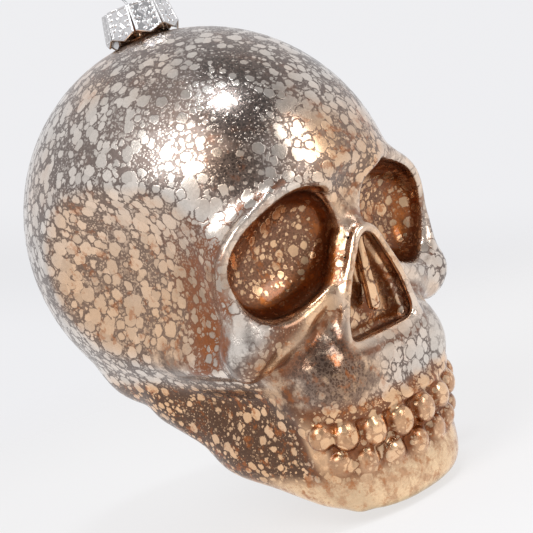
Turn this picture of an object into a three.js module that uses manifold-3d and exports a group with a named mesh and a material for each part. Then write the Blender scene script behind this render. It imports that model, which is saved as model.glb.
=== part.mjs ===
// A hollow glass skull ornament that hangs by a wire loop from a pressed metal crown cap.
// Millimetres and degrees. +Z runs up the neck, the face looks along -Y, and X runs from side to side.
// The origin is the inside top of the wire loop, where a hook or a ribbon carries the ornament.
import * as THREE from "three";
import { mergeVertices } from "three/addons/utils/BufferGeometryUtils.js";
import Module from "manifold-3d";

const wasm = await Module();
wasm.setup();

// The skull's own frame: its origin is near the brain case's middle. Forward is -Y, and a drop is down.

// Brain case, an egg with its front tipped down
const caseHalfWidth = 40.5;
const caseHalfLength = 50.5;
const caseHalfHeight = 46.2;
const caseForward = 1.1;
const caseDrop = 1.6;
const caseTilt = -6;

// Face below the brows
const faceHalfWidth = 31;
const faceHalfDepth = 24;
const faceHalfHeight = 17;
const faceForward = 22;
const faceDrop = 24;
const faceSquareness = 2.6;

// Hollow that sets the middle of the face back, and the deeper notch at the root of the nose
const setbackHalfWidth = 30;
const setbackHalfDepth = 18.5;
const setbackHalfHeight = 15;
const setbackForward = 63;
const setbackDrop = 7;
const setbackSquareness = 2.4;
const notchHalfWidth = 13;
const notchHalfDepth = 10;
const notchHalfHeight = 9;
const notchForward = 56.5;
const notchRise = 3;

// Eye sockets
const socketSide = 18.4;
const socketForward = 44.2;
const socketDrop = 5.7;
const socketYaw = 12;
const socketRoll = -23;
const socketHalfWidth = 15.5;
const socketHalfHeight = 11.7;
const socketSquareness = 2.45;
const socketWrapRadius = 60;
const socketBlockMargin = 1.5;
const socketBlockDepth = 17;
const bowlDepth = 10;
const bowlMargin = 0.4;
const socketLipRadius = 1.2;
const socketLipMargin = 0.8;
const lipRoot = 3;

// Mandible, a rod from the jaw's angle to the chin on each side
const jawFrontSide = 11.3;
const jawFrontForward = 39.9;
const jawFrontDrop = 57.3;
const jawFrontRadius = 11.3;
const jawBackSide = 17.3;
const jawBackForward = 1.9;
const jawBackDrop = 37.3;
const jawBackRadius = 11;

// Upper jaw that carries the teeth, and its fuller part under the nose
const muzzleHalfWidth = 23.6;
const muzzleHalfDepth = 19.2;
const muzzleHalfHeight = 26;
const muzzleForward = 34;
const muzzleDrop = 45.2;
const muzzlePlanSquareness = 2.8;
const muzzleSideSquareness = 2.35;
const lipHalfWidth = 23.5;
const lipHalfDepth = 16;
const lipHalfHeight = 9.5;
const lipForward = 36;
const lipDrop = 31;
const lipSquareness = 2.3;

// Skull base between the jaws
const baseHalfWidth = 20;
const baseHalfDepth = 28;
const baseHalfHeight = 18;
const baseForward = 18;
const baseDrop = 40;

// Chin, and the sloping flat under it
const chinHalfWidth = 19;
const chinHalfDepth = 13.3;
const chinHalfHeight = 9.8;
const chinForward = 42.6;
const chinDrop = 61.5;
const chinSquareness = 2.4;
const underDrop = 53.4;
const underSlope = 13.5;

// Temple hollows
const templeSide = 46.5;
const templeForward = 10.5;
const templeDrop = 7;
const templeHalfDepth = 14.5;
const templeHalfLength = 28.5;
const templeHalfHeight = 23.5;
const templeYaw = -12;
const templeSquareness = 2.5;

// Cheek bones: a post outside each socket, a plate with a small knob below it, a fold along the plate's
// lower edge and an arch to the back
const cheekTopSide = 31;
const cheekTopForward = 38.5;
const cheekTopDrop = 12;
const cheekTopRadius = 3.6;
const cheekFootSide = 31.3;
const cheekFootForward = 38.6;
const cheekFootDrop = 24.5;
const cheekFootRadius = 4;
const plateSide = 24.5;
const plateForward = 40.5;
const plateDrop = 20;
const plateYaw = 22;
const plateRoll = -35;
const plateHalfWidth = 8.5;
const plateHalfDepth = 4.2;
const plateHalfHeight = 7.5;
const plateSquareness = 2.4;
const plateKnobSide = 26.5;
const plateKnobForward = 43.6;
const plateKnobDrop = 18.2;
const plateKnobHalfWidth = 1.9;
const plateKnobHalfDepth = 1.5;
const plateKnobHalfHeight = 1.3;
const foldOuterSide = 28.6;
const foldOuterForward = 41.2;
const foldOuterDrop = 27.2;
const foldOuterRadius = 1.6;
const foldInnerSide = 14.5;
const foldInnerForward = 45.8;
const foldInnerDrop = 18.3;
const foldInnerRadius = 1;
const archFrontSide = 30.5;
const archFrontForward = 37.5;
const archFrontDrop = 27;
const archFrontRadius = 3.4;
const archBackSide = 30.5;
const archBackReach = 2;
const archBackDrop = 25.5;
const archBackRadius = 2.4;

// Nose: bridge, knob at its root, three-cornered opening and septum
const bridgeTopForward = 42;
const bridgeTopRise = 3;
const bridgeTopRadius = 2.2;
const bridgeFootForward = 46;
const bridgeFootDrop = 9;
const bridgeFootRadius = 2.8;
const knobForward = 46.6;
const knobDrop = 3;
const knobRadius = 2;
const noseForward = 49.8;
const noseDrop = 17;
const noseTopRise = 16.3;
const noseFootDrop = 11.4;
const noseHalfWidth = 12.2;
const noseSideAngle = 29.8;
const noseCapRise = 12.5;
const noseBlockDepth = 10;
const noseDepth = 4.2;
const noseLipRadius = 0.85;
const septumTopForward = 47.3;
const septumTopDrop = 6;
const septumFootForward = 48.4;
const septumFootDrop = 22;
const septumRadius = 1.5;

// Ridges of the jaw, to the places that the shares below refer to
const frontRidgeSide = 23;
const frontRidgeForward = 47.6;
const frontRidgeDrop = 62.5;
const frontRidgeRadius = 1.2;
const rearRidgeSide = 26;
const rearRidgeForward = 15;
const rearRidgeDrop = 51;
const rearRidgeRadius = 1.5;

// Gum line and bead-like teeth on one oval arch
const teethPerSide = 4;
const toothStep = 19.2;
const archHalfWidth = 24.6;
const archHalfDepth = 11.9;
const archForward = 41.6;
const gumDrop = 42.8;
const gumRise = 2.2;
const gumRadius = 0.9;
const gumEndAngle = 60;
const gumShares = [0, 1 / 3, 2 / 3, 1];
const toothTaper = 0.06;
const toothRows = 6;
const toothColumns = 8;
const upperToothDrop = 47.6;
const upperToothRise = 3.7;
const upperToothHalfWidth = 3.6;
const upperToothHalfHeight = 3.8;
const upperToothHalfDepth = 2.6;
const upperArchInset = 0.3;
const lowerToothDrop = 53.6;
const lowerToothRise = 3.2;
const lowerToothHalfWidth = 3.3;
const lowerToothHalfHeight = 3.3;
const lowerToothHalfDepth = 2.4;
const lowerArchInset = 1.6;

// Widths of the blends between the forms
const wideBlend = 7;
const boneBlend = 5;
const softBlend = 4;
const hollowBlend = 3;
const rimBlend = 1.7;
const foldBlend = 1;
const midlineBlend = 0.2;

// Glass, neck and cap seat
const glassWall = 1.6;
const neckRadius = 6.3;
const neckFlare = 1.5;
const neckLength = 12;
const neckBack = 9.1;
const neckRise = 6.1;
const neckLean = 10.5;
const neckRows = 3;
const neckRowPitch = 3;
const boreOverrun = 2;
const seatGap = 0.3;

// Crown cap
const capSides = 8;
const capTurn = 16.7;
const capSheet = 0.35;
const capTopRadius = 8.1;
const capFlare = 9.7;
const petalPoint = 1.36;
const tipClearance = 0.3;
const capBand = 1.8;
const petalNotch = 0.6;
const petalRimWidth = 0.45;
const petalRimHeight = 0.2;
const petalRimInset = 0.1;
const diamondSides = 4;
const diamondTopShare = 0.4;
const diamondHalfWidth = 0.95;
const diamondHalfHeight = 1.3;
const diamondHeight = 0.55;
const diamondPitch = 2.9;
const diamondTopDrop = 2.1;

// Wire hanger: a round loop on two legs that spread inside the neck
const wireRadius = 0.3;
const wireSideCount = 8;
const wireSteps = 64;
const loopRadius = 4;
const loopHeight = 5.7;
const legSide = 1.5;
const legBendHeight = 1;
const legStraight = 4.6;
const legEndSide = 4.2;
const legLength = 14;
const legShares = [0.5, 0.875];
const bendShares = [0.125, 0.5, 0.875];
const easeShare = 0.25;
const loopPoints = 6;
const holeClearance = 0.3;

// Where the forms are sampled
const columns = 52;
const outlinePoints = 32;
const nosePoints = 26;
const lipSides = 6;
const septumSteps = 3;
const frontCrowding = 0.72;
const spreadWidth = 17;
const marchStep = 0.8;
const halvings = 16;
const relaxings = 6;
const probe = 0.2;
const stationShares = [
  // Rows of rays start on a line of stations inside the head. Each station gives its way forward as a
  // share of caseHalfLength, its way down from the rim as a share of the rim's height, the ray's angle from
  // straight up, its sideways spread as a share of spreadWidth and the number of rows to the next station.
  [0, 0.6, 20, 0, 12],
  [0.06, 0.9, 82, 0.9, 17],
  [0.2, 1.42, 108, 1, 6],
  [0.3, 1.73, 112, 0.75, 6],
  [0.38, 1.97, 126, 0.6, 5],
  [0.43, 2.05, 152, 0.3, 5],
  [0.45, 2.06, 180, 0, 0],
];

// Sections of a socket's bowl and of the nose's opening from the front to the back: each is a share of the
// outline's size, and of bowlDepth or noseDepth
const bowlShares = [
  [1, -0.8],
  [1, 0.2],
  [0.92, 0.45],
  [0.76, 0.68],
  [0.52, 0.86],
  [0.26, 0.97],
];
const noseShares = [
  [1, -1.2],
  [1, 0.6],
  [0.88, 0.95],
];

// Points of the ridges as shares of their lowest point's side, forward and drop
const frontRidgeShares = [
  [1, 0.819, 0.512],
  [0.948, 0.903, 0.672],
  [0.922, 0.929, 0.8],
  [0.835, 0.962, 0.912],
  [0.696, 1, 1],
];
const rearRidgeShares = [
  [1, 0, 0.647],
  [0.946, 0.4, 0.843],
  [0.788, 1, 1],
];

const radians = THREE.MathUtils.degToRad;
const degrees = THREE.MathUtils.radToDeg;

// A point of the skull from its way to the side, its way forward and its drop
const place = (side, forward, drop) => new THREE.Vector3(side, -forward, -drop);

// The matrix that takes a point of the skull into a turned frame at a place
function frameAt(origin, yaw, pitch, roll) {
  const turn = new THREE.Euler(radians(pitch), radians(-roll), radians(yaw), "ZXY");
  return new THREE.Matrix4().makeRotationFromEuler(turn).setPosition(origin).invert();
}

// Smooth union and smooth cut of two distances, with the width of the blend
function join(a, b, blend) {
  const h = THREE.MathUtils.clamp(0.5 + (b - a) / (2 * blend), 0, 1);
  return b + (a - b) * h - blend * h * (1 - h);
}
const cut = (a, b, blend) => -join(-a, b, blend);
const overlap = (a, b, blend) => -join(-a, -b, blend);

// Distance from an egg or, with a squareness over 2, from a rounded box
function egg(point, frame, half, squareness = 2) {
  const local = point.clone().applyMatrix4(frame);
  const u = Math.abs(local.x) / half.x;
  const v = Math.abs(local.y) / half.y;
  const w = Math.abs(local.z) / half.z;
  const n = squareness;
  const reach = (u ** n + v ** n + w ** n) ** (1 / n) + Number.EPSILON;
  const slope = Math.hypot(
    (u / reach) ** (n - 1) / half.x,
    (v / reach) ** (n - 1) / half.y,
    (w / reach) ** (n - 1) / half.z,
  );
  return (reach - 1) / slope;
}

// Distance from a block with one squareness in plan and another from the side
function block(point, frame, half, plan, side) {
  const local = point.clone().applyMatrix4(frame);
  const u = Math.abs(local.x) / half.x + Number.EPSILON;
  const v = Math.abs(local.y) / half.y + Number.EPSILON;
  const w = Math.abs(local.z) / half.z + Number.EPSILON;
  const round = (u ** plan + v ** plan) ** (1 / plan);
  const reach = (round ** side + w ** side) ** (1 / side);
  const share = (round / reach) ** (side - 1);
  const slope = Math.hypot(
    (share * (u / round) ** (plan - 1)) / half.x,
    (share * (v / round) ** (plan - 1)) / half.y,
    (w / reach) ** (side - 1) / half.z,
  );
  return (reach - 1) / slope;
}

// Distance from an oval outline in the plane of x and z
function oval(x, z, halfWidth, halfHeight, squareness) {
  const u = Math.abs(x) / halfWidth;
  const w = Math.abs(z) / halfHeight;
  const reach = (u ** squareness + w ** squareness) ** (1 / squareness) + Number.EPSILON;
  const slope = Math.hypot(
    (u / reach) ** (squareness - 1) / halfWidth,
    (w / reach) ** (squareness - 1) / halfHeight,
  );
  return (reach - 1) / slope;
}

// Distance from a rod with round ends of two radii
function rod(point, start, end, startRadius, endRadius = startRadius) {
  const along = end.clone().sub(start);
  const t = THREE.MathUtils.clamp(point.clone().sub(start).dot(along) / along.lengthSq(), 0, 1);
  const middle = start.clone().addScaledVector(along, t);
  return point.distanceTo(middle) - THREE.MathUtils.lerp(startRadius, endRadius, t);
}

// Distance from a chain of rods
function ridge(point, points, radius) {
  const spans = points.slice(1).map((end, i) => rod(point, points[i], end, radius));
  return Math.min(...spans);
}

// Point on the arch of the teeth at an angle from the middle
function archPoint(angle, drop, rise, inset = 0) {
  const turn = radians(angle);
  const side = (archHalfWidth - inset) * Math.sin(turn);
  const forward = archForward + archHalfDepth * Math.cos(turn);
  return place(side, forward, drop - rise * (1 - Math.cos(turn)));
}

// One row of teeth on both sides, smaller towards the back. Its first tooth is some steps from the middle.
function toothRow(first, half, drop, rise, inset) {
  const row = [];
  for (let i = 0; i < teethPerSide; i += 1) {
    const steps = i + first;
    for (const side of steps === 0 ? [1] : [-1, 1]) {
      const angle = side * toothStep * steps;
      const turn = radians(angle);
      const yaw = Math.atan2(archHalfDepth * Math.sin(turn), archHalfWidth * Math.cos(turn));
      const size = half.clone().multiplyScalar(1 - toothTaper * i);
      const tooth = new THREE.SphereGeometry(1, toothColumns, toothRows).rotateX(Math.PI / 2);
      tooth.scale(size.x, size.y, size.z);
      tooth.applyMatrix4(frameAt(archPoint(angle, drop, rise, inset), degrees(yaw), 0, 0).invert());
      row.push(tooth);
    }
  }
  return row;
}

const ridgePoints = (shares, side, forward, drop) =>
  shares.map(([s, f, d]) => place(s * side, f * forward, d * drop));

const neckRimHeight = caseHalfHeight - caseDrop + neckRise;
const rayLength = caseHalfLength + faceHalfDepth;
const caseFrame = frameAt(place(0, caseForward, caseDrop), 0, caseTilt, 0);
const faceFrame = frameAt(place(0, faceForward, faceDrop), 0, 0, 0);
const setbackFrame = frameAt(place(0, setbackForward, setbackDrop), 0, 0, 0);
const notchFrame = frameAt(place(0, notchForward, -notchRise), 0, 0, 0);
const socketFrame = frameAt(place(socketSide, socketForward, socketDrop), socketYaw, 0, socketRoll);
const socketWrap = 1 / (2 * socketWrapRadius);
const muzzleFrame = frameAt(place(0, muzzleForward, muzzleDrop), 0, 0, 0);
const lipFrame = frameAt(place(0, lipForward, lipDrop), 0, 0, 0);
const plateFrame = frameAt(place(plateSide, plateForward, plateDrop), plateYaw, 0, plateRoll);
const plateKnobFrame = frameAt(place(plateKnobSide, plateKnobForward, plateKnobDrop), 0, 0, 0);
const baseFrame = frameAt(place(0, baseForward, baseDrop), 0, 0, 0);
const chinFrame = frameAt(place(0, chinForward, chinDrop), 0, 0, 0);
const templeFrame = frameAt(place(templeSide, templeForward, templeDrop), templeYaw, 0, 0);
const noseFrame = frameAt(place(0, noseForward, noseDrop), 0, 0, 0);
const frontRidge = ridgePoints(frontRidgeShares, frontRidgeSide, frontRidgeForward, frontRidgeDrop);
const rearRidge = ridgePoints(rearRidgeShares, rearRidgeSide, rearRidgeForward, rearRidgeDrop);
const gumLine = gumShares.map((share) => archPoint(share * gumEndAngle, gumDrop, gumRise));

// A point seen from a socket, with the brow's wrap round the head taken out
function inSocket(point) {
  const local = point.clone().applyMatrix4(socketFrame);
  local.y -= socketWrap * local.x ** 2;
  return local;
}

function braincase(point) {
  const half = new THREE.Vector3(caseHalfWidth, caseHalfLength, caseHalfHeight);
  const face = new THREE.Vector3(faceHalfWidth, faceHalfDepth, faceHalfHeight);
  const setback = new THREE.Vector3(setbackHalfWidth, setbackHalfDepth, setbackHalfHeight);
  const notch = new THREE.Vector3(notchHalfWidth, notchHalfDepth, notchHalfHeight);
  const head = join(egg(point, caseFrame, half), egg(point, faceFrame, face, faceSquareness), boneBlend);
  const flat = cut(head, egg(point, setbackFrame, setback, setbackSquareness), hollowBlend);
  return cut(flat, egg(point, notchFrame, notch), hollowBlend);
}

const socketOutline = (x, z) => oval(x, z, socketHalfWidth, socketHalfHeight, socketSquareness);

// Distance from the nose's outline, a triangle with a cut top and rounded corners
function noseOutline(x, z) {
  const slope = radians(noseSideAngle);
  const side = Math.hypot(x, midlineBlend);
  const flank = side * Math.cos(slope) - (noseTopRise - z) * Math.sin(slope);
  const ends = Math.max(-noseFootDrop - z, z - noseCapRise);
  return overlap(overlap(flank, side - noseHalfWidth, boneBlend), ends, hollowBlend);
}

function browBlocks(body, local) {
  const front = overlap(socketOutline(local.x, local.z) - socketBlockMargin, -local.y, rimBlend);
  return join(body, overlap(front, local.y - socketBlockDepth, rimBlend), boneBlend);
}

function jaw(body, point) {
  const front = place(jawFrontSide, jawFrontForward, jawFrontDrop);
  const back = place(jawBackSide, jawBackForward, jawBackDrop);
  const muzzle = new THREE.Vector3(muzzleHalfWidth, muzzleHalfDepth, muzzleHalfHeight);
  const base = new THREE.Vector3(baseHalfWidth, baseHalfDepth, baseHalfHeight);
  const lip = new THREE.Vector3(lipHalfWidth, lipHalfDepth, lipHalfHeight);
  const chin = new THREE.Vector3(chinHalfWidth, chinHalfDepth, chinHalfHeight);
  const slope = radians(underSlope);
  const below = -point.z * Math.cos(slope) + point.y * Math.sin(slope) - underDrop;
  let d = join(body, rod(point, front, back, jawFrontRadius, jawBackRadius), boneBlend);
  d = join(d, block(point, muzzleFrame, muzzle, muzzlePlanSquareness, muzzleSideSquareness), softBlend);
  d = join(d, egg(point, lipFrame, lip, lipSquareness), boneBlend);
  d = join(d, egg(point, baseFrame, base), wideBlend);
  d = join(d, egg(point, chinFrame, chin, chinSquareness), softBlend);
  return overlap(d, below, boneBlend);
}

function temples(body, point) {
  const half = new THREE.Vector3(templeHalfDepth, templeHalfLength, templeHalfHeight);
  return cut(body, egg(point, templeFrame, half, templeSquareness), hollowBlend);
}

function cheeks(body, point) {
  const top = place(cheekTopSide, cheekTopForward, cheekTopDrop);
  const foot = place(cheekFootSide, cheekFootForward, cheekFootDrop);
  const outer = place(foldOuterSide, foldOuterForward, foldOuterDrop);
  const inner = place(foldInnerSide, foldInnerForward, foldInnerDrop);
  const front = place(archFrontSide, archFrontForward, archFrontDrop);
  const back = place(archBackSide, -archBackReach, archBackDrop);
  const plate = new THREE.Vector3(plateHalfWidth, plateHalfDepth, plateHalfHeight);
  const knob = new THREE.Vector3(plateKnobHalfWidth, plateKnobHalfDepth, plateKnobHalfHeight);
  let d = join(body, rod(point, top, foot, cheekTopRadius, cheekFootRadius), softBlend);
  d = join(d, egg(point, plateFrame, plate, plateSquareness), hollowBlend);
  d = join(d, rod(point, outer, inner, foldOuterRadius, foldInnerRadius), foldBlend);
  d = join(d, egg(point, plateKnobFrame, knob), foldBlend);
  return join(d, rod(point, front, back, archFrontRadius, archBackRadius), hollowBlend);
}

function nose(body, point) {
  const bridgeTop = place(0, bridgeTopForward, -bridgeTopRise);
  const bridgeFoot = place(0, bridgeFootForward, bridgeFootDrop);
  const knob = place(0, knobForward, knobDrop);
  const local = point.clone().applyMatrix4(noseFrame);
  const front = overlap(noseOutline(local.x, local.z) - noseLipRadius, -local.y, rimBlend);
  let d = join(body, rod(point, bridgeTop, bridgeFoot, bridgeTopRadius, bridgeFootRadius), hollowBlend);
  d = join(d, overlap(front, local.y - noseBlockDepth, rimBlend), hollowBlend);
  return join(d, point.distanceTo(knob) - knobRadius, rimBlend);
}

function ridges(body, point) {
  let d = join(body, ridge(point, frontRidge, frontRidgeRadius), hollowBlend);
  d = join(d, ridge(point, rearRidge, rearRidgeRadius), hollowBlend);
  return join(d, ridge(point, gumLine, gumRadius), rimBlend);
}

// Distance from the skull's outer face before its neck, sockets, nose opening and teeth are made
function skullForm(point) {
  const half = new THREE.Vector3(Math.hypot(point.x, midlineBlend), point.y, point.z);
  let d = browBlocks(braincase(half), inSocket(half));
  d = jaw(d, half);
  d = nose(cheeks(temples(d, half), half), half);
  return ridges(d, half);
}

// The glass is sampled in the neck's frame: origin in the middle of the rim, +Z up the neck.
const neckToSkull = new THREE.Matrix4()
  .makeRotationX(radians(-neckLean))
  .setPosition(0, neckBack, neckRimHeight);

function glassForm(point) {
  const neck = Math.max(Math.hypot(point.x, point.y) - neckRadius, -point.z - neckLength);
  return join(skullForm(point.clone().applyMatrix4(neckToSkull)), neck, neckFlare);
}

// How far out along a ray a depth below the glass's outer face lies, as seen from outside
function reachAlong(origin, direction, depth) {
  const at = (r) => glassForm(origin.clone().addScaledVector(direction, r)) + depth;
  let outside = rayLength;
  while (at(outside - marchStep) > 0) outside -= marchStep;
  let inside = outside - marchStep;
  for (let i = 0; i < halvings; i += 1) {
    const middle = (inside + outside) / 2;
    if (at(middle) < 0) inside = middle;
    else outside = middle;
  }
  return inside;
}

// Rows of rays, from the rim of the neck down over the head to the pole under the jaw
function rowsOfNeck() {
  return Array.from({ length: neckRows }, (_, i) => ({
    origin: new THREE.Vector3(0, 0, -i * neckRowPitch),
    angle: radians(90),
    spread: 0,
  }));
}

function rowsOfHead() {
  const rows = [];
  stationShares.slice(0, -1).forEach(([forward, down, angle, spread, count], k) => {
    const next = stationShares[k + 1];
    for (let i = 0; i < count; i += 1) {
      const t = i / count;
      const y = -THREE.MathUtils.lerp(forward, next[0], t) * caseHalfLength;
      const z = -THREE.MathUtils.lerp(down, next[1], t) * neckRimHeight;
      rows.push({
        origin: new THREE.Vector3(0, y, z),
        angle: radians(THREE.MathUtils.lerp(angle, next[2], t)),
        spread: THREE.MathUtils.lerp(spread, next[3], t) * spreadWidth,
      });
    }
  });
  return rows;
}

// The ray of a column: the rays fan round the head, and over the face they crowd and run side by side
function rayOf(row, column) {
  const s = (2 * column) / columns - 1;
  const around = Math.PI * ((1 - frontCrowding) * s + frontCrowding * s ** 3);
  const out = Math.sin(row.angle);
  const side = new THREE.Vector3(row.spread * Math.sin(Math.PI * s), 0, 0);
  return {
    origin: row.origin.clone().add(side),
    direction: new THREE.Vector3(out * Math.sin(around), -out * Math.cos(around), Math.cos(row.angle)),
  };
}

// One ring of points on the glass, at a depth below its outer face: one half mirrors the other
function ringAt(row, depth, step) {
  const half = [];
  for (let j = 0; j <= columns / 2; j += step) {
    const { origin, direction } = rayOf(row, j);
    half.push(origin.addScaledVector(direction, reachAlong(origin, direction, depth)));
  }
  const mirrored = half.slice(1, -1).reverse();
  return [...half, ...mirrored.map((point) => new THREE.Vector3(-point.x, point.y, point.z))];
}

// A point moved along the form's slope until it is at a depth below its face
function settled(point, depth) {
  const at = (x, y, z) => glassForm(new THREE.Vector3(point.x + x, point.y + y, point.z + z));
  const value = at(0, 0, 0) + depth;
  const slope = new THREE.Vector3(
    at(probe, 0, 0) - at(-probe, 0, 0),
    at(0, probe, 0) - at(0, -probe, 0),
    at(0, 0, probe) - at(0, 0, -probe),
  );
  return point.clone().addScaledVector(slope, (-value * 2 * probe) / slope.lengthSq());
}

// Evens out the rings between two rows, with every point kept on the form
function relaxed(rings, first, depth) {
  let now = rings;
  for (let pass = 0; pass < relaxings; pass += 1) {
    now = now.map((ring, i) => {
      if (i < first || i + 1 === now.length) return ring;
      return ring.map((point, j) => {
        const around = [now[i - 1][j], now[i + 1][j], ring.at(j - 1), ring[(j + 1) % ring.length]];
        const middle = new THREE.Vector3();
        for (const near of around) middle.add(near);
        middle.divideScalar(2 * around.length).addScaledVector(point, 1 / 2);
        return settled(settled(middle, depth), depth);
      });
    });
  }
  return now;
}

// A closed shape from rings of points, from the top ring down, with a point at each end
function ringShape(rings, top, bottom) {
  const points = [top, ...rings.flat(), bottom];
  const count = rings[0].length;
  const at = (i, j) => 1 + i * count + (j % count);
  const faces = [];
  for (let j = 0; j < count; j += 1) {
    faces.push(0, at(0, j), at(0, j + 1));
    for (let i = 0; i + 1 < rings.length; i += 1) {
      faces.push(at(i, j), at(i + 1, j), at(i + 1, j + 1));
      faces.push(at(i, j), at(i + 1, j + 1), at(i, j + 1));
    }
    faces.push(points.length - 1, at(rings.length - 1, j + 1), at(rings.length - 1, j));
  }
  return new THREE.BufferGeometry().setFromPoints(points).setIndex(faces);
}

function solidOf(geometry) {
  geometry.deleteAttribute("normal");
  geometry.deleteAttribute("uv");
  const merged = mergeVertices(geometry);
  const vertProperties = merged.attributes.position.array;
  const triVerts = new Uint32Array(merged.index.array);
  return new wasm.Manifold(new wasm.Mesh({ numProp: 3, vertProperties, triVerts }));
}

function geometryOf(solid) {
  const mesh = solid.getMesh();
  const geometry = new THREE.BufferGeometry();
  geometry.setAttribute("position", new THREE.BufferAttribute(mesh.vertProperties, 3));
  geometry.setIndex(new THREE.BufferAttribute(mesh.triVerts, 1));
  geometry.computeVertexNormals();
  return geometry;
}

// The points round an outline where its distance is a margin
function traced(outline, margin, count) {
  return Array.from({ length: count }, (_, i) => {
    const turn = (2 * Math.PI * i) / count;
    let inside = 0;
    let outside = caseHalfWidth;
    for (let k = 0; k < halvings; k += 1) {
      const middle = (inside + outside) / 2;
      if (outline(middle * Math.cos(turn), middle * Math.sin(turn)) < margin) inside = middle;
      else outside = middle;
    }
    return new THREE.Vector2(inside * Math.cos(turn), inside * Math.sin(turn));
  });
}

// A shape that fills a hollow: sections of one outline from the front to the back
function filling(outline, shares, depth, wrap) {
  const at = (share, deep, point) => {
    const x = share * point.x;
    return new THREE.Vector3(x, deep * depth + wrap * x ** 2, share * point.y);
  };
  const rings = shares.map(([share, deep]) => outline.map((point) => at(share, deep, point)));
  const middle = new THREE.Vector2();
  return ringShape(rings, at(1, shares[0][1], middle), at(1, 1, middle));
}

// A lip that runs along an outline, round in front and drawn back into the bone behind
function lipAlong(outline, radius, wrap) {
  const count = outline.length;
  const points = [];
  const faces = [];
  const at = (i, j) => (i % count) * lipSides + (j % lipSides);
  outline.forEach((point, i) => {
    const along = outline[(i + 1) % count].clone().sub(outline.at(i - 1)).normalize();
    for (let j = 0; j < lipSides; j += 1) {
      const turn = (2 * Math.PI * j) / lipSides;
      const out = radius * Math.cos(turn);
      const back = Math.sin(turn) < -Number.EPSILON ? lipRoot : -radius * Math.sin(turn);
      const x = point.x + out * along.y;
      points.push(new THREE.Vector3(x, wrap * x ** 2 + back, point.y - out * along.x));
      faces.push(at(i, j), at(i + 1, j), at(i + 1, j + 1), at(i, j), at(i + 1, j + 1), at(i, j + 1));
    }
  });
  return new THREE.BufferGeometry().setFromPoints(points).setIndex(faces);
}

function mirrored(geometry) {
  const copy = geometry.clone().scale(-1, 1, 1);
  return copy.setIndex(Array.from(copy.index.array).reverse());
}

// A shape of the skull's frame as a solid of the neck's frame
const onNeck = (geometry) => solidOf(geometry.applyMatrix4(neckToSkull.clone().invert()));

// Solids at both sockets and at the nose, from one shape of each in its own frame
function onFace(atSocket, atNose) {
  const socket = atSocket.applyMatrix4(socketFrame.clone().invert());
  const middle = atNose.applyMatrix4(noseFrame.clone().invert());
  return [mirrored(socket), socket, middle].map((shape) => onNeck(shape));
}

// The fillings of both sockets and of the nose's opening, grown by a margin
function fillings(grown) {
  const bowl = traced(socketOutline, bowlMargin + grown, outlinePoints);
  const opening = traced(noseOutline, grown, nosePoints);
  return onFace(
    filling(bowl, bowlShares, bowlDepth + grown, socketWrap),
    filling(opening, noseShares, noseDepth + grown, 0),
  );
}

function lips() {
  const rim = traced(socketOutline, socketLipMargin, outlinePoints);
  const opening = traced(noseOutline, 0, nosePoints);
  return onFace(lipAlong(rim, socketLipRadius, socketWrap), lipAlong(opening, noseLipRadius, 0));
}

function septum() {
  const top = place(0, septumTopForward, septumTopDrop);
  const foot = place(0, septumFootForward, septumFootDrop);
  const along = top.clone().sub(foot);
  const bar = new THREE.CapsuleGeometry(septumRadius, along.length(), septumSteps, lipSides);
  const turn = new THREE.Quaternion().setFromUnitVectors(new THREE.Vector3(0, 1, 0), along.normalize());
  bar.applyQuaternion(turn);
  const middle = top.add(foot).divideScalar(2);
  return onNeck(bar.translate(middle.x, middle.y, middle.z));
}

// Both rows of teeth
function teeth() {
  const upper = new THREE.Vector3(upperToothHalfWidth, upperToothHalfDepth, upperToothHalfHeight);
  const lower = new THREE.Vector3(lowerToothHalfWidth, lowerToothHalfDepth, lowerToothHalfHeight);
  const row = toothRow(1 / 2, upper, upperToothDrop, upperToothRise, upperArchInset);
  row.push(...toothRow(0, lower, lowerToothDrop, lowerToothRise, lowerArchInset));
  return row.map(onNeck);
}

// The blown skull: its outside with the sockets, the nose and the teeth, less its hollow, which is open at
// the neck's mouth
function skullGlass() {
  const neck = rowsOfNeck();
  const head = rowsOfHead();
  const [forward, down] = stationShares.at(-1);
  const pole = new THREE.Vector3(0, -forward * caseHalfLength, -down * neckRimHeight);
  const below = new THREE.Vector3(0, 0, -1);
  const under = (depth) => pole.clone().addScaledVector(below, reachAlong(pole, below, depth));
  const outer = relaxed([...neck, ...head].map((row) => ringAt(row, 0, 1)), neck.length + 1, 0);
  const sparse = [...neck, ...head.filter((_, i) => i % 2 === 0)];
  const inner = relaxed(sparse.map((row) => ringAt(row, glassWall, 2)), neck.length + 1, glassWall);
  const mouth = new THREE.Vector3(0, 0, boreOverrun);
  inner.unshift(inner[0].map((point) => point.clone().add(mouth)));
  let hollow = solidOf(ringShape(inner, mouth, under(glassWall)));
  for (const filled of fillings(glassWall)) hollow = hollow.subtract(filled);
  let glass = solidOf(ringShape(outer, new THREE.Vector3(), under(0)));
  for (const filled of fillings(0)) glass = glass.subtract(filled);
  for (const added of [...lips(), septum(), ...teeth()]) glass = glass.add(added);
  return geometryOf(glass.subtract(hollow));
}

const halfSide = Math.PI / capSides;

// How far the glass lies below the rim round the neck, at its highest under the cap's edge
function shoulderOfGlass() {
  const up = new THREE.Vector3(0, 0, 1);
  const drops = Array.from({ length: 2 * capSides }, (_, i) => {
    const foot = new THREE.Vector3(capTopRadius, 0, -neckRimHeight).applyAxisAngle(up, halfSide * i);
    return neckRimHeight - reachAlong(foot, up, 0);
  });
  return Math.min(...drops);
}

const capTipDrop = capSheet + seatGap + shoulderOfGlass() - tipClearance;
const capShoulderDrop = capTipDrop - petalPoint;

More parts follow.
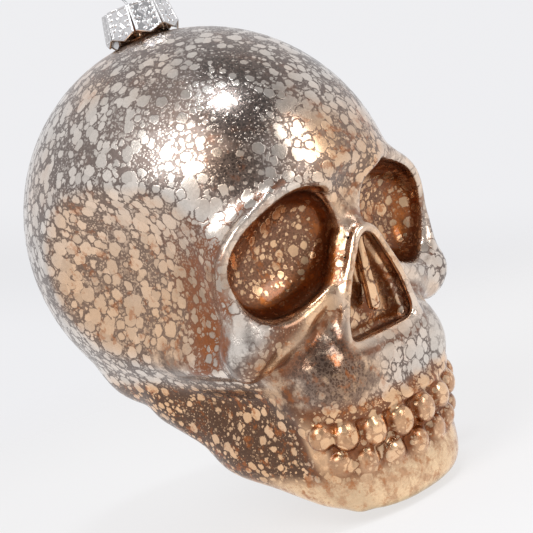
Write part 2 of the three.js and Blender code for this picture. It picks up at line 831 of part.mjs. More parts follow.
// Outline of a petal in its own plane, drawn in from its full size by an inset
function petalOutline(inset) {
  const slant = (drop) => drop / Math.cos(radians(capFlare));
  const half = (drop) =>
    (capTopRadius + (drop * Math.tan(radians(capFlare))) / Math.cos(halfSide)) * Math.sin(halfSide) - inset;
  const left = [
    [-half(0), -inset],
    [-half(capBand), -slant(capBand)],
    [petalNotch / 2 - half(capShoulderDrop), -slant(capShoulderDrop)],
  ];
  const right = left.map(([x, y]) => [-x, y]).reverse();
  return [...left, [0, inset - slant(capTipDrop)], ...right].map(([x, y]) => new THREE.Vector2(x, y));
}

// One petal: a flat plate with a raised border and two raised diamonds one above the other
function petal() {
  const extrude = (shape, depth, back) =>
    solidOf(new THREE.ExtrudeGeometry(shape, { depth, bevelEnabled: false }).translate(0, 0, -back));
  const border = new THREE.Shape(petalOutline(petalRimInset));
  border.holes.push(new THREE.Path(petalOutline(petalRimInset + petalRimWidth)));
  let solid = extrude(new THREE.Shape(petalOutline(0)), capSheet, capSheet);
  solid = solid.add(extrude(border, petalRimHeight + petalRimInset, petalRimInset));
  for (const k of [0, 1]) {
    const diamond = new THREE.CylinderGeometry(diamondTopShare, 1, 1, diamondSides)
      .rotateX(Math.PI / 2)
      .scale(diamondHalfWidth, diamondHalfHeight, diamondHeight)
      .translate(0, -diamondTopDrop - k * diamondPitch, 0);
    solid = solid.add(solidOf(diamond));
  }
  return geometryOf(solid);
}

// The crown cap about the middle of its top's upper face
function crownCap() {
  const turn = radians(capTurn);
  const top = new THREE.CylinderGeometry(capTopRadius, capTopRadius, capSheet, capSides)
    .rotateX(Math.PI / 2)
    .rotateZ(turn + halfSide)
    .translate(0, 0, -capSheet / 2);
  let cap = solidOf(top);
  const standing = petal()
    .rotateX(Math.PI / 2 - radians(capFlare))
    .translate(0, -capTopRadius * Math.cos(halfSide), 0);
  for (let i = 0; i < capSides; i += 1) {
    cap = cap.add(solidOf(standing.clone().rotateZ(turn + 2 * halfSide * i)));
  }
  const holeRadius = wireRadius + holeClearance;
  for (const side of [-legSide, legSide]) {
    const hole = new THREE.CylinderGeometry(holeRadius, holeRadius, 2 * boreOverrun, 2 * capSides);
    cap = cap.subtract(solidOf(hole.rotateX(Math.PI / 2).translate(side, 0, 0)));
  }
  return geometryOf(cap);
}

// The wire's middle line about the middle of the cap's top: one leg up, round the loop and down the other
function wireLine() {
  const centre = new THREE.Vector3(0, 0, loopHeight);
  const bend = new THREE.Vector3(legSide, 0, legBendHeight);
  const toBend = bend.clone().sub(centre);
  const start = Math.atan2(toBend.z, toBend.x) + Math.acos(loopRadius / toBend.length());
  const onLoop = (t) => {
    const turn = THREE.MathUtils.lerp(start, Math.PI / 2, t);
    return new THREE.Vector3(loopRadius * Math.cos(turn), 0, loopHeight + loopRadius * Math.sin(turn));
  };
  const legEnd = new THREE.Vector3(legEndSide, 0, -legLength);
  const legBreak = new THREE.Vector3(legSide, 0, -legStraight);
  const half = [
    legEnd,
    ...legShares.map((share) => legEnd.clone().lerp(legBreak, share)),
    ...bendShares.map((share) => legBreak.clone().lerp(bend, share)),
    bend.clone().lerp(onLoop(0), easeShare),
    ...Array.from({ length: loopPoints }, (_, i) => onLoop(i / loopPoints)),
  ];
  const mirrored = half.map((point) => new THREE.Vector3(-point.x, 0, point.z)).reverse();
  return new THREE.CatmullRomCurve3([...half, onLoop(1), ...mirrored], false, "centripetal");
}

function wireHanger() {
  const corners = Array.from({ length: wireSideCount }, (_, i) => {
    const turn = (2 * Math.PI * i) / wireSideCount;
    return new THREE.Vector2(wireRadius * Math.cos(turn), wireRadius * Math.sin(turn));
  });
  const options = { extrudePath: wireLine(), steps: wireSteps, bevelEnabled: false };
  return new THREE.ExtrudeGeometry(new THREE.Shape(corners), options);
}

function named(name, geometry, color, roughness, metalness) {
  const mesh = new THREE.Mesh(geometry, new THREE.MeshStandardMaterial({ color, roughness, metalness }));
  mesh.name = name;
  return mesh;
}

const ornament = new THREE.Group();
const seat = new THREE.Group();
seat.position.z = wireRadius - loopRadius - loopHeight;
ornament.add(seat);

const glass = named("glass_skull", skullGlass(), 0x9c8672, 0.12, 0.85);
glass.position.z = -capSheet - seatGap;
seat.add(glass);
seat.add(named("crown_cap", crownCap(), 0xd9dbdd, 0.25, 1));
seat.add(named("wire_hanger", wireHanger(), 0xc4c6c8, 0.3, 1));

export default ornament;
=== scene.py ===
"""Glass skull ornament: a silvered, cell-etched glass skull under a pressed crown cap with a wire hanger."""
import math
from collections import namedtuple

import bpy
import numpy as np
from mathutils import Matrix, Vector


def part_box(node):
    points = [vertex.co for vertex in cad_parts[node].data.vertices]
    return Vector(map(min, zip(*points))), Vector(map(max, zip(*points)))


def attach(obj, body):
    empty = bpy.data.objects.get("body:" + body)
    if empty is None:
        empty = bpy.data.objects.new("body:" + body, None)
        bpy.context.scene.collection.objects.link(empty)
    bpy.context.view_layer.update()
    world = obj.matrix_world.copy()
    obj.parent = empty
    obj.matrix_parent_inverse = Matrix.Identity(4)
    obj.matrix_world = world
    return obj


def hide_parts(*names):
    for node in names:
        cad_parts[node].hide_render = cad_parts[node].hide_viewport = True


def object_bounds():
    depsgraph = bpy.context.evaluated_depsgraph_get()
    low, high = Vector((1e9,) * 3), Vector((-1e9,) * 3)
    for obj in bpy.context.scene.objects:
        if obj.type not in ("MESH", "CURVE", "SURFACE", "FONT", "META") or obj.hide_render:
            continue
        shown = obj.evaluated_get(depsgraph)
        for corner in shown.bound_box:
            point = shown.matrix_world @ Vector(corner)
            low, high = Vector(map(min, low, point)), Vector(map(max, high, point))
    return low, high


bl_info = {
    "name": "Glass Skull Ornament",
    "version": (1, 0, 0),
    "blender": (4, 5, 0),
    "location": "3D View > Sidebar > Ornament",
    "description": "Builds a silvered glass skull ornament with its crown cap, wire hanger and studio stage",
    "category": "Object",
}

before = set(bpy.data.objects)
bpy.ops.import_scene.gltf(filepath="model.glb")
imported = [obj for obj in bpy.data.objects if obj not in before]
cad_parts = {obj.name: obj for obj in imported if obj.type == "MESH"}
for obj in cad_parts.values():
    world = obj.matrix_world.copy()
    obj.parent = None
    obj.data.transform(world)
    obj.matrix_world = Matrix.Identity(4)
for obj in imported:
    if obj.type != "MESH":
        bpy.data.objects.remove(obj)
CAD_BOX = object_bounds()

MM = 0.001
IMAGE_SIDE = 533
TINY = 1e-6

# The skull's form. Millimetres in the skull's own frame: the face looks along
# -Y, +Z is up, and the origin is near the middle of the brain case. A feature's
# blend is the width of the smooth join between it and the form so far.

Egg = namedtuple("Egg", "centre half blend squareness yaw pitch roll", defaults=(0.0, 2.0, 0.0, 0.0, 0.0))
Rod = namedtuple("Rod", "start end start_radius end_radius blend")
Chain = namedtuple("Chain", "points radius blend")

CASE = Egg((0, -1.1, -1.6), (40.5, 50.5, 46.2), pitch=-6)
FACE = Egg((0, -22, -24), (31, 24, 17), 5, 2.6)
SETBACK = Egg((0, -63, -7), (30, 18.5, 15), 3, 2.4)
NASION = Egg((0, -56.5, 3), (13, 10, 9), 3)
MUZZLE = Egg((0, -34, -45.2), (23.6, 19.2, 26), 4)
MUZZLE_PLAN = 2.8
MUZZLE_SIDE = 2.35
MAXILLA = Egg((0, -36, -31), (23.5, 16, 9.5), 5, 2.3)
BASE = Egg((0, -18, -40), (20, 28, 18), 7)
CHIN = Egg((0, -42.6, -61.5), (19, 13.3, 9.8), 4, 2.4)
FULLNESS = (
    Egg((15.8, -41.3, -36), (8.6, 10.4, 10.2), 3),
    Egg((17.8, 9.5, -30.5), (11.5, 14, 11.7), 3),
    Egg((16.5, -22.5, -50.5), (9.6, 15, 9.8), 3),
    Egg((30.3, -38, -22.5), (5.8, 6.2, 4.6), 3),
)
JAW = Rod((11.3, -39.9, -57.3), (17.3, -1.9, -37.3), 11.3, 11, 5)
UNDER_DROP = 55.6
UNDER_SLOPE = math.radians(10.5)
UNDER_BLEND = 5
TEMPLE = Egg((46.5, -10.5, -7), (14.5, 28.5, 23.5), 3, 2.5, yaw=-12)
CHEEK = Rod((31, -38.5, -12), (31.3, -38.6, -24.5), 3.6, 4, 4)
MALAR = Egg((24.5, -40.5, -20), (8.5, 4.2, 7.5), 3, 2.4, yaw=22, roll=-35)
FOLD = Rod((28.6, -41.2, -27.2), (14.5, -45.8, -18.3), 1.6, 1.0, 1)
MALAR_KNOB = Egg((26.5, -43.6, -18.2), (1.9, 1.5, 1.3), 1)
ARCH = Rod((30.5, -37.5, -27), (30.5, 2, -25.5), 3.4, 2.4, 3)

EDGE_BLEND = 1.7
SOCKET = Egg((18.4, -44.2, -5.7), (15.5, 11, 11.7), 5, 2.45, yaw=12, roll=-23)
SOCKET_WRAP = 60
SOCKET_BOWL = (19, 14, 15)
SOCKET_BOWL_FORWARD = 4
SOCKET_BOWL_MARGIN = 0.4
SOCKET_BOWL_BLEND = 4
SOCKET_BLOCK_MARGIN = 1.5
SOCKET_BLOCK_DEPTH = 17
SOCKET_LIP_MARGIN = 0.8
SOCKET_LIP_RADIUS = 1.2

BRIDGE = Rod((0, -42, 3), (0, -46, -9), 2.2, 2.8, 3)
FLANK = Rod((4.2, -45.2, -6), (9.6, -45.8, -17), 1.2, 1.2, 2)
SEPTUM = Rod((0, -47.3, -6), (0, -48.4, -22), 1.3, 1.7, 2.5)
KNOB = Egg((0, -46.6, -3.0), (2.0, 2.0, 2.0), EDGE_BLEND)
NOSE = Egg((0, -49.8, -17), (12.2, 10, 16.3), 3)
NOSE_SIDE = math.radians(29.8)
NOSE_FOOT = 11.4
NOSE_CAP = 12.5
NOSE_SIDE_BLEND = 5
NOSE_END_BLEND = 3
NOSE_DEPTH = 4.2
NOSE_LIP_RADIUS = 0.85

FRONT_RIDGE = Chain(
    ((23, -39, -32), (21.8, -43, -42), (21.2, -44.2, -50), (19.2, -45.8, -57), (16, -47.6, -62.5)), 1.2, 3
)
REAR_RIDGE = Chain(((26, 0, -33), (24.6, -6, -43), (20.5, -15, -51)), 1.5, 3)

TOOTH_ARCH = (24.6, 11.9, 41.6)
TOOTH_STEP = 19.2
TOOTH_TAPER = 0.06
TOOTH_BLEND = 0.8
UPPER_TOOTH = (47.6, 3.7, 0.3, 0.5, (3.6, 2.6, 3.8))
LOWER_TOOTH = (53.6, 3.2, 1.6, 0.0, (3.3, 2.4, 3.3))
GUM_DROP = 42.8
GUM_RISE = 2.2
GUM_RADIUS = 0.9
GUM_ANGLES = (0, 20, 40, 60)

MIDLINE = 0.2
NECK_RADIUS = 6.3
NECK_BORE = 4.7
NECK_BORE_DEPTH = 15.0
NECK_FLARE = 1.5
NECK_LENGTH = 12
NECK_FOOT = (0.0, 9.1, 50.7)
NECK_LEAN = math.radians(10.5)
RIM_BLEND = 0.5
RIM_DROP = 10.05
SKIN_INSET = 0.16

# The grid that the glass is drawn on, in the neck's frame, and how its points settle on the form.
GLASS_HALF_WIDTH = 42
GLASS_FRONT_BACK = (-53, 53)
GLASS_FOOT_TOP = (-129, 3)
PINCH_ROUNDS = 4
PINCH_DEPTH = 0.02
SETTLE_ROUNDS = 3
SETTLE_REACH = 0.13
SETTLE_STEP = 0.4
LEAST_SLOPE = 0.05
RELAX_ROUNDS = 1
RELAX_SHARE = 0.5

# The crown cap's petals. Millimetres in a petal's own plane: u runs across from its middle, v runs down from
# its top edge and w runs out.
CAP_SIDES = 8
CAP_TURN = math.radians(16.7)
CAP_RADIUS = 8.1
CAP_SHEET = 0.35
CAP_FLARE = math.radians(9.7)
CAP_NOTCH = 0.6
CAP_POINT = 1.36
CAP_ROUND = 0.12
CAP_BORDER = (0.3, 0.22)
DIAMONDS = ((0, 2.15), (0, 5.1))
DIAMOND_HALF = (1.12, 1.42)
DIAMOND_RIDGE = (0.34, 0.3)
BEADS = ((2.25, 0.95), (2.15, 2.2), (2.3, 3.55), (1.4, 3.75), (2.05, 4.85), (0, 0.55), (0.95, 6.6))
BEAD_RADIUS = 0.32
CAP_CELL = 0.14
# Room round a petal: beside, above, below and before it. Room round the lid: beside, below and above it.
PETAL_ROOM = (1, 0.6, 0.7, 0.9)
LID_ROOM = (0.5, 0.8, 0.4)

# The wire: a round loop above the cap, and two legs that spread in the neck. Millimetres from the cap's top.
WIRE_RADIUS = 0.3
WIRE_SIDES = 16
LOOP_HEIGHT = 5.7
LOOP_RADIUS = 4
LEG_SIDE = 1.5
LEG_BEND = 1.0
LEG_STRAIGHT = 4.6
LEG_END = (4.2, 14.0)
HOLE_CLEARANCE = 0.3
LOOP_KEYS = 9
KEY_STEPS = 6

# How far the hollows, ridges and creases of the glass are felt for. Hollows and creases also carry painted shade,
# and ridges a painted highlight.
HOLLOW_REACH = 3.5
RIDGE_REACH = 4.0
CREASE_REACH = 2.0

# Where the masks of the finish begin and end, in millimetres: the low and high limits of smooth steps, and the
# middle and width of soft lines.
RIM_STEP = (-0.8, 1.0)
SOCKET_FRONT = (-2, 1.5)
SOCKET_BACK = 20
WALL_STEP = (-5.5, -2.0)
NOSE_FRONT = (-1.5, 1)
NOSE_BACK = 16
DIP_STEP = (-3.6, 0.2)
SOCKET_LIP = ((0.9, 1.1), (-3, -1), (-3, 0))
SOCKET_BORDER = ((2.7, 0.8), (-4, -1), (-6, -2))
NOSE_LIP = ((0, 0.9), (-2, 0), -4)
NOSE_BORDER = ((1.9, 0.7), (-3, 0), -5)
STREAK_STEP = (-6.2, -3.6)
STREAK_FRONT = (11, 29)
STREAK_FOOT = (-14, 4)
MOUTH_STEP = (-6, -2.5)
TOOTH_FACE_STEP = (-0.6, 0.1)
CREASE_STEP = (0.12, 0.5)
CREASE_IN_NOSE = 0.6
FOLD_LINE = (0.2, 0.8)
BESIDE_FOLD = (-7.5, -1.5)
BESIDE_NEAR_SIDE = (-14, 2)
BESIDE_FLANK = (-2.6, -0.9)
BESIDE_SEAM = (-4.5, -1)
BESIDE_SEAM_SHARE = 0.8
SEAM_LINE = (0.5, 0.8)
SEAM_SHARE = 0.9
SEAM_FOOT = (38, 45)
JAW_REAR = (0, 20)
JAW_TOP = 33
JAW_RISE = 0.25
JAW_FRONT = (-47, -38)
JAW_EDGE = (2, 4)
WANDER = (0.6, 2.4)
WANDER_WAVES = (0.31, 0.13, 0.27)
CHIN_TOP = (54, 58)
CHIN_BACK = (24, 34)
UNDER_STEP = (-5.5, -2)
UNDER_BACK = (2, 16)
# How much of the nose, of what lies beside a fold and of a lip's border counts as a wall. The wall mask browns the
# walls of the hollows and is also painted shade.
WALL_SHARES = (0.08, 0.7, 0.8)
PLAIN_STEP = (0.3, 0.7)
PLAIN_SHARE = 0.85
PLAIN_CHIN = 0.9
WARM_MOUTH = 0.95
THIN_SOCKET = 0.54
EDGE_STEP = (62.8, 64.6)

# Patches of the finish: place, reach and strength.
WARM_PATCHES = (
    ((0, 8, 46), 15, 0.9), ((-4, -48, 14), 11, 1.0), ((8, -46, 10), 12, 1.0), ((-2, -47, 3), 8, 0.9),
    ((0, -51, -16), 15, 1.0), ((-17, -45, -12), 8, 0.8), ((-21, -46, -27), 8, 0.9), ((-15, -49, -33), 11, 1.0),
    ((-24, -41, -36), 8, 0.8), ((-24, 2, 34), 7, 0.5), ((-24, -37, 15), 8, 0.4), ((0, 40, 10), 16, 0.6),
    ((30, 5, 20), 14, 0.5), ((0, -52, -33), 8, 0.2),
)
THIN_PATCHES = (
    ((-17, -37, 26), 11, 1.0), ((-24, -38, 14), 8, 1.0), ((-10, -30, 36), 12, 0.9), ((-2, -48, 5), 7, 0.7),
    ((-17, -44, 8), 6, 0.6), ((-24, -44, -20), 7, 0.7), ((-31, -25, 14), 7, 0.7), ((20, -30, 32), 12, 0.8),
    ((18, 30, 24), 13, 0.8), ((-16, 44, -4), 12, 0.8), ((-17, -48, -31), 11, 1.0), ((-15, -42, -44), 7, 0.8),
    ((-33, -15, -30), 9, 0.6), ((-35, -38, -24), 6, 0.6),
)
CLEAR_PATCHES = (
    ((-9, -45, 19), 8, 0.8), ((-29, -30, 10), 9, 0.8), ((16, -43, 16), 9, 0.7), ((-34, -40, -16), 8, 0.3),
    ((18, -40, -6), 13, 1.0), ((0, -47, -17), 12, 1.0), ((24, 10, 34), 12, 0.6), ((-20, 30, 24), 12, 0.5),
    ((4, -52, -33), 10, 0.9),
)
PLAIN_PATCHES = (
    ((-14, -48, -31), 12, 1.0), ((-23, -42, -33), 10, 0.9), ((19, -45, -33), 11, 0.9), ((0, -48, -4), 10, 0.8),
    ((-33, -38, -21), 9, 0.8), ((-33, -16, -27), 9, 0.7),
)


def mellow(a, b, width):
    """Smooth union of two distances."""
    h = np.clip(0.5 + 0.5 * (b - a) / width, 0, 1)
    return b + (a - b) * h - width * h * (1 - h)


def carve(a, b, width):
    """Smooth cut of b out of a."""
    return -mellow(-a, b, width)


def both(a, b, width):
    """Smooth overlap of two distances."""
    return -mellow(-a, -b, width)


def turned(x, y, z, egg):
    """Points in the turned frame of an egg."""
    place = [x - egg.centre[0], y - egg.centre[1], z - egg.centre[2]]
    for angle, a, b in ((egg.yaw, 0, 1), (egg.pitch, 1, 2), (egg.roll, 0, 2)):
        if angle:
            s, c = math.sin(math.radians(angle)), math.cos(math.radians(angle))
            place[a], place[b] = c * place[a] + s * place[b], c * place[b] - s * place[a]
    return place


def rounded(u, v, w, half, n):
    """Distance from an egg or rounded box about the origin."""
    u, v, w = np.abs(u) / half[0], np.abs(v) / half[1], np.abs(w) / half[2]
    if n == 2:
        reach = np.sqrt(u * u + v * v + w * w) + TINY
        slope = np.sqrt((u / half[0]) ** 2 + (v / half[1]) ** 2 + (w / half[2]) ** 2) + TINY
        return reach * (reach - 1) / slope
    reach = (u**n + v**n + w**n) ** (1 / n) + TINY
    m = n - 1
    slope = np.sqrt(
        ((u / reach) ** m / half[0]) ** 2 + ((v / reach) ** m / half[1]) ** 2 + ((w / reach) ** m / half[2]) ** 2
    )
    return (reach - 1) / (slope + TINY)


def egg_distance(x, y, z, egg):
    """Distance from an egg."""
    return rounded(*turned(x, y, z, egg), egg.half, egg.squareness)


def block_distance(x, y, z, egg, plan, side):
    """Distance from a block with one squareness in plan and another from the side."""
    half = egg.half
    x, y, z = turned(x, y, z, egg)
    u, v, w = np.abs(x) / half[0] + TINY, np.abs(y) / half[1] + TINY, np.abs(z) / half[2] + TINY
    ring = (u**plan + v**plan) ** (1 / plan)
    reach = (ring**side + w**side) ** (1 / side)
    share = (ring / reach) ** (side - 1)
    slope = np.sqrt(
        (share * (u / ring) ** (plan - 1) / half[0]) ** 2
        + (share * (v / ring) ** (plan - 1) / half[1]) ** 2
        + ((w / reach) ** (side - 1) / half[2]) ** 2
    )
    return (reach - 1) / slope


def oval(x, z, half, n):
    """Distance from an oval outline."""
    u, w = np.abs(x) / half[0], np.abs(z) / half[2]
    reach = (u**n + w**n) ** (1 / n) + TINY
    slope = np.sqrt(((u / reach) ** (n - 1) / half[0]) ** 2 + ((w / reach) ** (n - 1) / half[2]) ** 2)
    return (reach - 1) / slope


def rod_distance(x, y, z, rod):
    """Distance from a round rod that may taper."""
    a, b = np.array(rod.start, float), np.array(rod.end, float)
    d = b - a
    t = np.clip(((x - a[0]) * d[0] + (y - a[1]) * d[1] + (z - a[2]) * d[2]) / (d @ d), 0, 1)
    gap = np.sqrt((x - a[0] - t * d[0]) ** 2 + (y - a[1] - t * d[1]) ** 2 + (z - a[2] - t * d[2]) ** 2)
    return gap - rod.start_radius - (rod.end_radius - rod.start_radius) * t


def chain_distance(x, y, z, chain):
    """Distance from round rods laid end to end."""
    ends = zip(chain.points, chain.points[1:])
    rods = [Rod(a, b, chain.radius, chain.radius, chain.blend) for a, b in ends]
    return np.minimum.reduce([rod_distance(x, y, z, rod) for rod in rods])


DISTANCES = {Egg: egg_distance, Rod: rod_distance, Chain: chain_distance}


def joined(d, place, *features):
    """A distance with features joined on smoothly, one after the other."""
    for feature in features:
        d = mellow(d, DISTANCES[type(feature)](*place, feature), feature.blend)
    return d


def hollowed(d, place, *features):
    """A distance with features cut out smoothly, one after the other."""
    for feature in features:
        d = carve(d, DISTANCES[type(feature)](*place, feature), feature.blend)
    return d


def slab(outline, depth, thickness):
    """Distance from a slab with an outline, between its front face at 0 and its back."""
    return both(both(outline, -depth, EDGE_BLEND), depth - thickness, EDGE_BLEND)


def arch_point(angle, drop, rise, inset):
    """A point on the arch of the teeth, at an angle from the middle."""
    side, deep, forward = TOOTH_ARCH
    return (
        (side - inset) * math.sin(angle),
        -forward - deep * math.cos(angle),
        -drop + rise * (1 - math.cos(angle)),
    )


def tooth_eggs(row, count):
    """The eggs of one row of teeth on one side, smaller towards the back."""
    drop, rise, inset, first, half = row
    side, deep, _ = TOOTH_ARCH
    eggs = []
    for i in range(count):
        angle = math.radians(TOOTH_STEP) * (i + first)
        yaw = math.atan2(deep * math.sin(angle), side * math.cos(angle))
        size = 1 - TOOTH_TAPER * i
        centre = arch_point(angle, drop, rise, inset)
        eggs.append(Egg(centre, tuple(h * size for h in half), TOOTH_BLEND, yaw=math.degrees(yaw)))
    return eggs


def teeth_of(count):
    """The eggs of both rows of teeth on one side."""
    return tooth_eggs(UPPER_TOOTH, count) + tooth_eggs(LOWER_TOOTH, count)


def in_socket(x, y, z):
    """Points in the frame of the eye socket, whose plane wraps round the face."""
    x, y, z = turned(x, y, z, SOCKET)
    return x, y - x * x / (2 * SOCKET_WRAP), z


def nose_outline(x, z):
    """Distance from the outline of the nose opening, a triangle with a cut top and rounded corners."""
    flank = x * math.cos(NOSE_SIDE) - (NOSE.half[2] - z) * math.sin(NOSE_SIDE)
    sides = both(flank, x - NOSE.half[0], NOSE_SIDE_BLEND)
    ends = np.maximum(-NOSE_FOOT - z, z - NOSE_CAP)
    return both(sides, ends, NOSE_END_BLEND)


def under_distance(y, z):
    """Distance below the jaw's underside."""
    return y * math.sin(UNDER_SLOPE) - z * math.cos(UNDER_SLOPE) - UNDER_DROP


def skull_form(x, y, z, teeth):
    """Distance from the outer face of the skull, without its neck."""
    place = (np.sqrt(x * x + MIDLINE**2), y, z)
    d = joined(egg_distance(*place, CASE), place, FACE)
    d = hollowed(d, place, SETBACK, NASION)
    sx, sy, sz = in_socket(*place)
    rim = oval(sx, sz, SOCKET.half, SOCKET.squareness)
    d = mellow(d, slab(rim - SOCKET_BLOCK_MARGIN, sy, SOCKET_BLOCK_DEPTH), SOCKET.blend)
    d = joined(d, place, JAW)
    d = mellow(d, block_distance(*place, MUZZLE, MUZZLE_PLAN, MUZZLE_SIDE), MUZZLE.blend)
    d = joined(d, place, MAXILLA, BASE, CHIN, *FULLNESS)
    d = both(d, under_distance(y, z), UNDER_BLEND)
    d = hollowed(d, place, TEMPLE)
    d = joined(d, place, CHEEK, MALAR, FOLD, MALAR_KNOB, ARCH)
    dish = rounded(sx, sy + SOCKET_BOWL_FORWARD, sz, SOCKET_BOWL, 2)
    d = carve(d, both(rim - SOCKET_BOWL_MARGIN, dish, SOCKET_BOWL_BLEND), EDGE_BLEND)
    d = mellow(d, np.hypot(rim - SOCKET_LIP_MARGIN, sy) - SOCKET_LIP_RADIUS, EDGE_BLEND)
    d = joined(d, place, BRIDGE, FLANK)
    nx, ny, nz = turned(*place, NOSE)
    edge = nose_outline(nx, nz)
    d = mellow(d, slab(edge - NOSE_LIP_RADIUS, ny, NOSE.half[1]), NOSE.blend)
    d = carve(d, both(edge, ny - NOSE_DEPTH, EDGE_BLEND), EDGE_BLEND)
    d = mellow(d, np.hypot(edge, ny) - NOSE_LIP_RADIUS, EDGE_BLEND)
    line = [arch_point(math.radians(a), GUM_DROP, GUM_RISE, 0) for a in GUM_ANGLES]
    gum = Chain(line, GUM_RADIUS, EDGE_BLEND)
    return joined(d, place, SEPTUM, KNOB, FRONT_RIDGE, REAR_RIDGE, gum, *teeth_of(teeth))


def to_skull(points):
    """Points of the neck's frame, whose origin is the middle of the rim, in the skull's frame."""
    x, y, z = points[..., 0], points[..., 1], points[..., 2]
    s, c = math.sin(NECK_LEAN), math.cos(NECK_LEAN)
    return x + NECK_FOOT[0], c * y + s * z + NECK_FOOT[1], c * z - s * y + NECK_FOOT[2]


def glass_form(points, teeth):
    """Distance from the glass at points of the neck's frame."""
    x, y, z = points[..., 0], points[..., 1], points[..., 2]
    ring = np.hypot(x, y)
    neck = np.maximum(ring - NECK_RADIUS, -z - NECK_LENGTH)
    d = mellow(skull_form(*to_skull(points), teeth), neck, NECK_FLARE)
    d = both(d, z, RIM_BLEND)
    bore = np.maximum(ring - NECK_BORE, -z - NECK_BORE_DEPTH)
    return carve(d, bore, RIM_BLEND) + SKIN_INSET


def unpinched(values):
    """Distances without a grid face whose diagonal corners alone are inside, where a net would pinch."""
    values = values.copy()
    for _ in range(PINCH_ROUNDS):
        for axis in range(3):
            spots = []
            for du, dv in ((0, 0), (1, 0), (0, 1), (1, 1)):
                at = [slice(None)] * 3
                at[(axis + 1) % 3] = slice(du, du - 1 or None)
                at[(axis + 2) % 3] = slice(dv, dv - 1 or None)
                spots.append(tuple(at))
            a, b, c, d = (values[at] < 0 for at in spots)
            pinch = (a == d) & (b == c) & (a != b)
            for at in spots:
                values[at][pinch] = np.minimum(values[at][pinch], -PINCH_DEPTH)
    return values


def net(values, corner, cell):
    """Points and quads of the surface where a grid of distances changes sign."""
    values = unpinched(values)
    inside = values < 0
    shape = np.array(values.shape) - 1
    corners = [(i, j, k) for i in (0, 1) for j in (0, 1) for k in (0, 1)]

    def window(grid, at):
        return grid[at[0] : at[0] + shape[0], at[1] : at[1] + shape[1], at[2] : at[2] + shape[2]]

    count = sum(window(inside, at).astype(np.int8) for at in corners)
    cells = np.argwhere((count > 0) & (count < 8))
    number = np.full(shape, -1, np.int32)
    number[tuple(cells.T)] = np.arange(len(cells))
    total = np.zeros((len(cells), 3))
    crossings = np.zeros(len(cells))
    for a in corners:
        for axis in range(3):
            if a[axis]:
                continue
            b = list(a)
            b[axis] = 1
            va = values[tuple((cells + a).T)]
            vb = values[tuple((cells + b).T)]
            cross = (va < 0) != (vb < 0)
            t = np.where(cross, va / np.where(cross, va - vb, 1), 0)
            spot = np.array(a, float) + 0 * total
            spot[:, axis] += t
            total += spot * cross[:, None]
            crossings += cross
    points = corner + (cells + total / crossings[:, None]) * cell
    quads = []
    for axis in range(3):
        u, v = (axis + 1) % 3, (axis + 2) % 3
        low = [slice(1, -1)] * 3
        low[axis] = slice(0, -1)
        high = [slice(1, -1)] * 3
        high[axis] = slice(1, None)
        start, end = inside[tuple(low)], inside[tuple(high)]
        edge = np.argwhere(start != end)
        rising = start[tuple(edge.T)]
        edge[:, u] += 1
        edge[:, v] += 1
        ring = []
        for du, dv in ((0, 0), (-1, 0), (-1, -1), (0, -1)):
            at = edge.copy()
            at[:, u] += du
            at[:, v] += dv
            ring.append(number[tuple(at.T)])
        quad = np.stack(ring, 1)
        quad[~rising] = quad[~rising][:, ::-1]
        quads.append(quad)
    return points, np.concatenate(quads)


def slopes(form, points, reach):
    """Gradient of a form at points."""
    out = np.empty_like(points)
    for axis in range(3):
        step = np.zeros(3)
        step[axis] = reach
        out[:, axis] = (form(points + step) - form(points - step)) / (2 * reach)
    return out


def settled(form, points, cell):
    """Points moved onto the surface of a form, and its outward directions there."""
    reach = SETTLE_REACH * cell
    for _ in range(SETTLE_ROUNDS):
        slope = slopes(form, points, reach)
        size = np.maximum((slope**2).sum(1), LEAST_SLOPE)
        step = -form(points)[:, None] * slope / size[:, None]
        length = np.linalg.norm(step, axis=1, keepdims=True)
        points = points + step * np.minimum(1, SETTLE_STEP * cell / np.maximum(length, TINY))
    slope = slopes(form, points, reach)
    return points, slope / np.linalg.norm(slope, axis=1, keepdims=True)


def relaxed(points, quads, share):
    """Points moved towards the mean of their neighbours, which takes the jags out of narrow ridges."""
    total = np.zeros_like(points)
    count = np.zeros(len(points))
    for side in range(4):
        a, b = quads[:, side], quads[:, (side + 1) % 4]
        for here, there in ((a, b), (b, a)):
            count += np.bincount(here, minlength=len(points))
            for axis in range(3):
                total[:, axis] += np.bincount(here, points[there, axis], len(points))
    return points + share[:, None] * (total / count[:, None] - points)


def drawn(form, low, high, cell):
    """Points and quads of a form's surface inside a box."""
    axes = [np.arange(a, b + cell, cell) for a, b in zip(low, high)]
    values = form(np.stack(np.meshgrid(*axes, indexing="ij"), -1))
    points, quads = net(values, np.array(low, float), cell)
    return settled(form, points, cell)[0], quads


def skull_surface(cell, teeth):
    """Points and quads of the glass, and its outward directions, in the neck's frame."""

    def form(points):
        return glass_form(points, teeth)

    xs = (np.arange(math.ceil(GLASS_HALF_WIDTH / cell)) + 0.5) * cell
    ys = np.arange(*GLASS_FRONT_BACK, cell)
    zs = np.arange(*GLASS_FOOT_TOP, cell)
    half = np.empty((len(xs), len(ys), len(zs)))
    for i, x in enumerate(xs):
        half[i] = form(np.stack(np.meshgrid([x], ys, zs, indexing="ij"), -1))[0]
    corner = np.array([-xs[-1], ys[0], zs[0]])
    points, quads = net(np.concatenate([half[::-1], half]), corner, cell)
    points, normals = settled(form, points, cell)
    for _ in range(RELAX_ROUNDS):
        points = relaxed(points, quads, RELAX_SHARE * (points[:, 2] < -NECK_BORE_DEPTH))
    return points, quads, normals


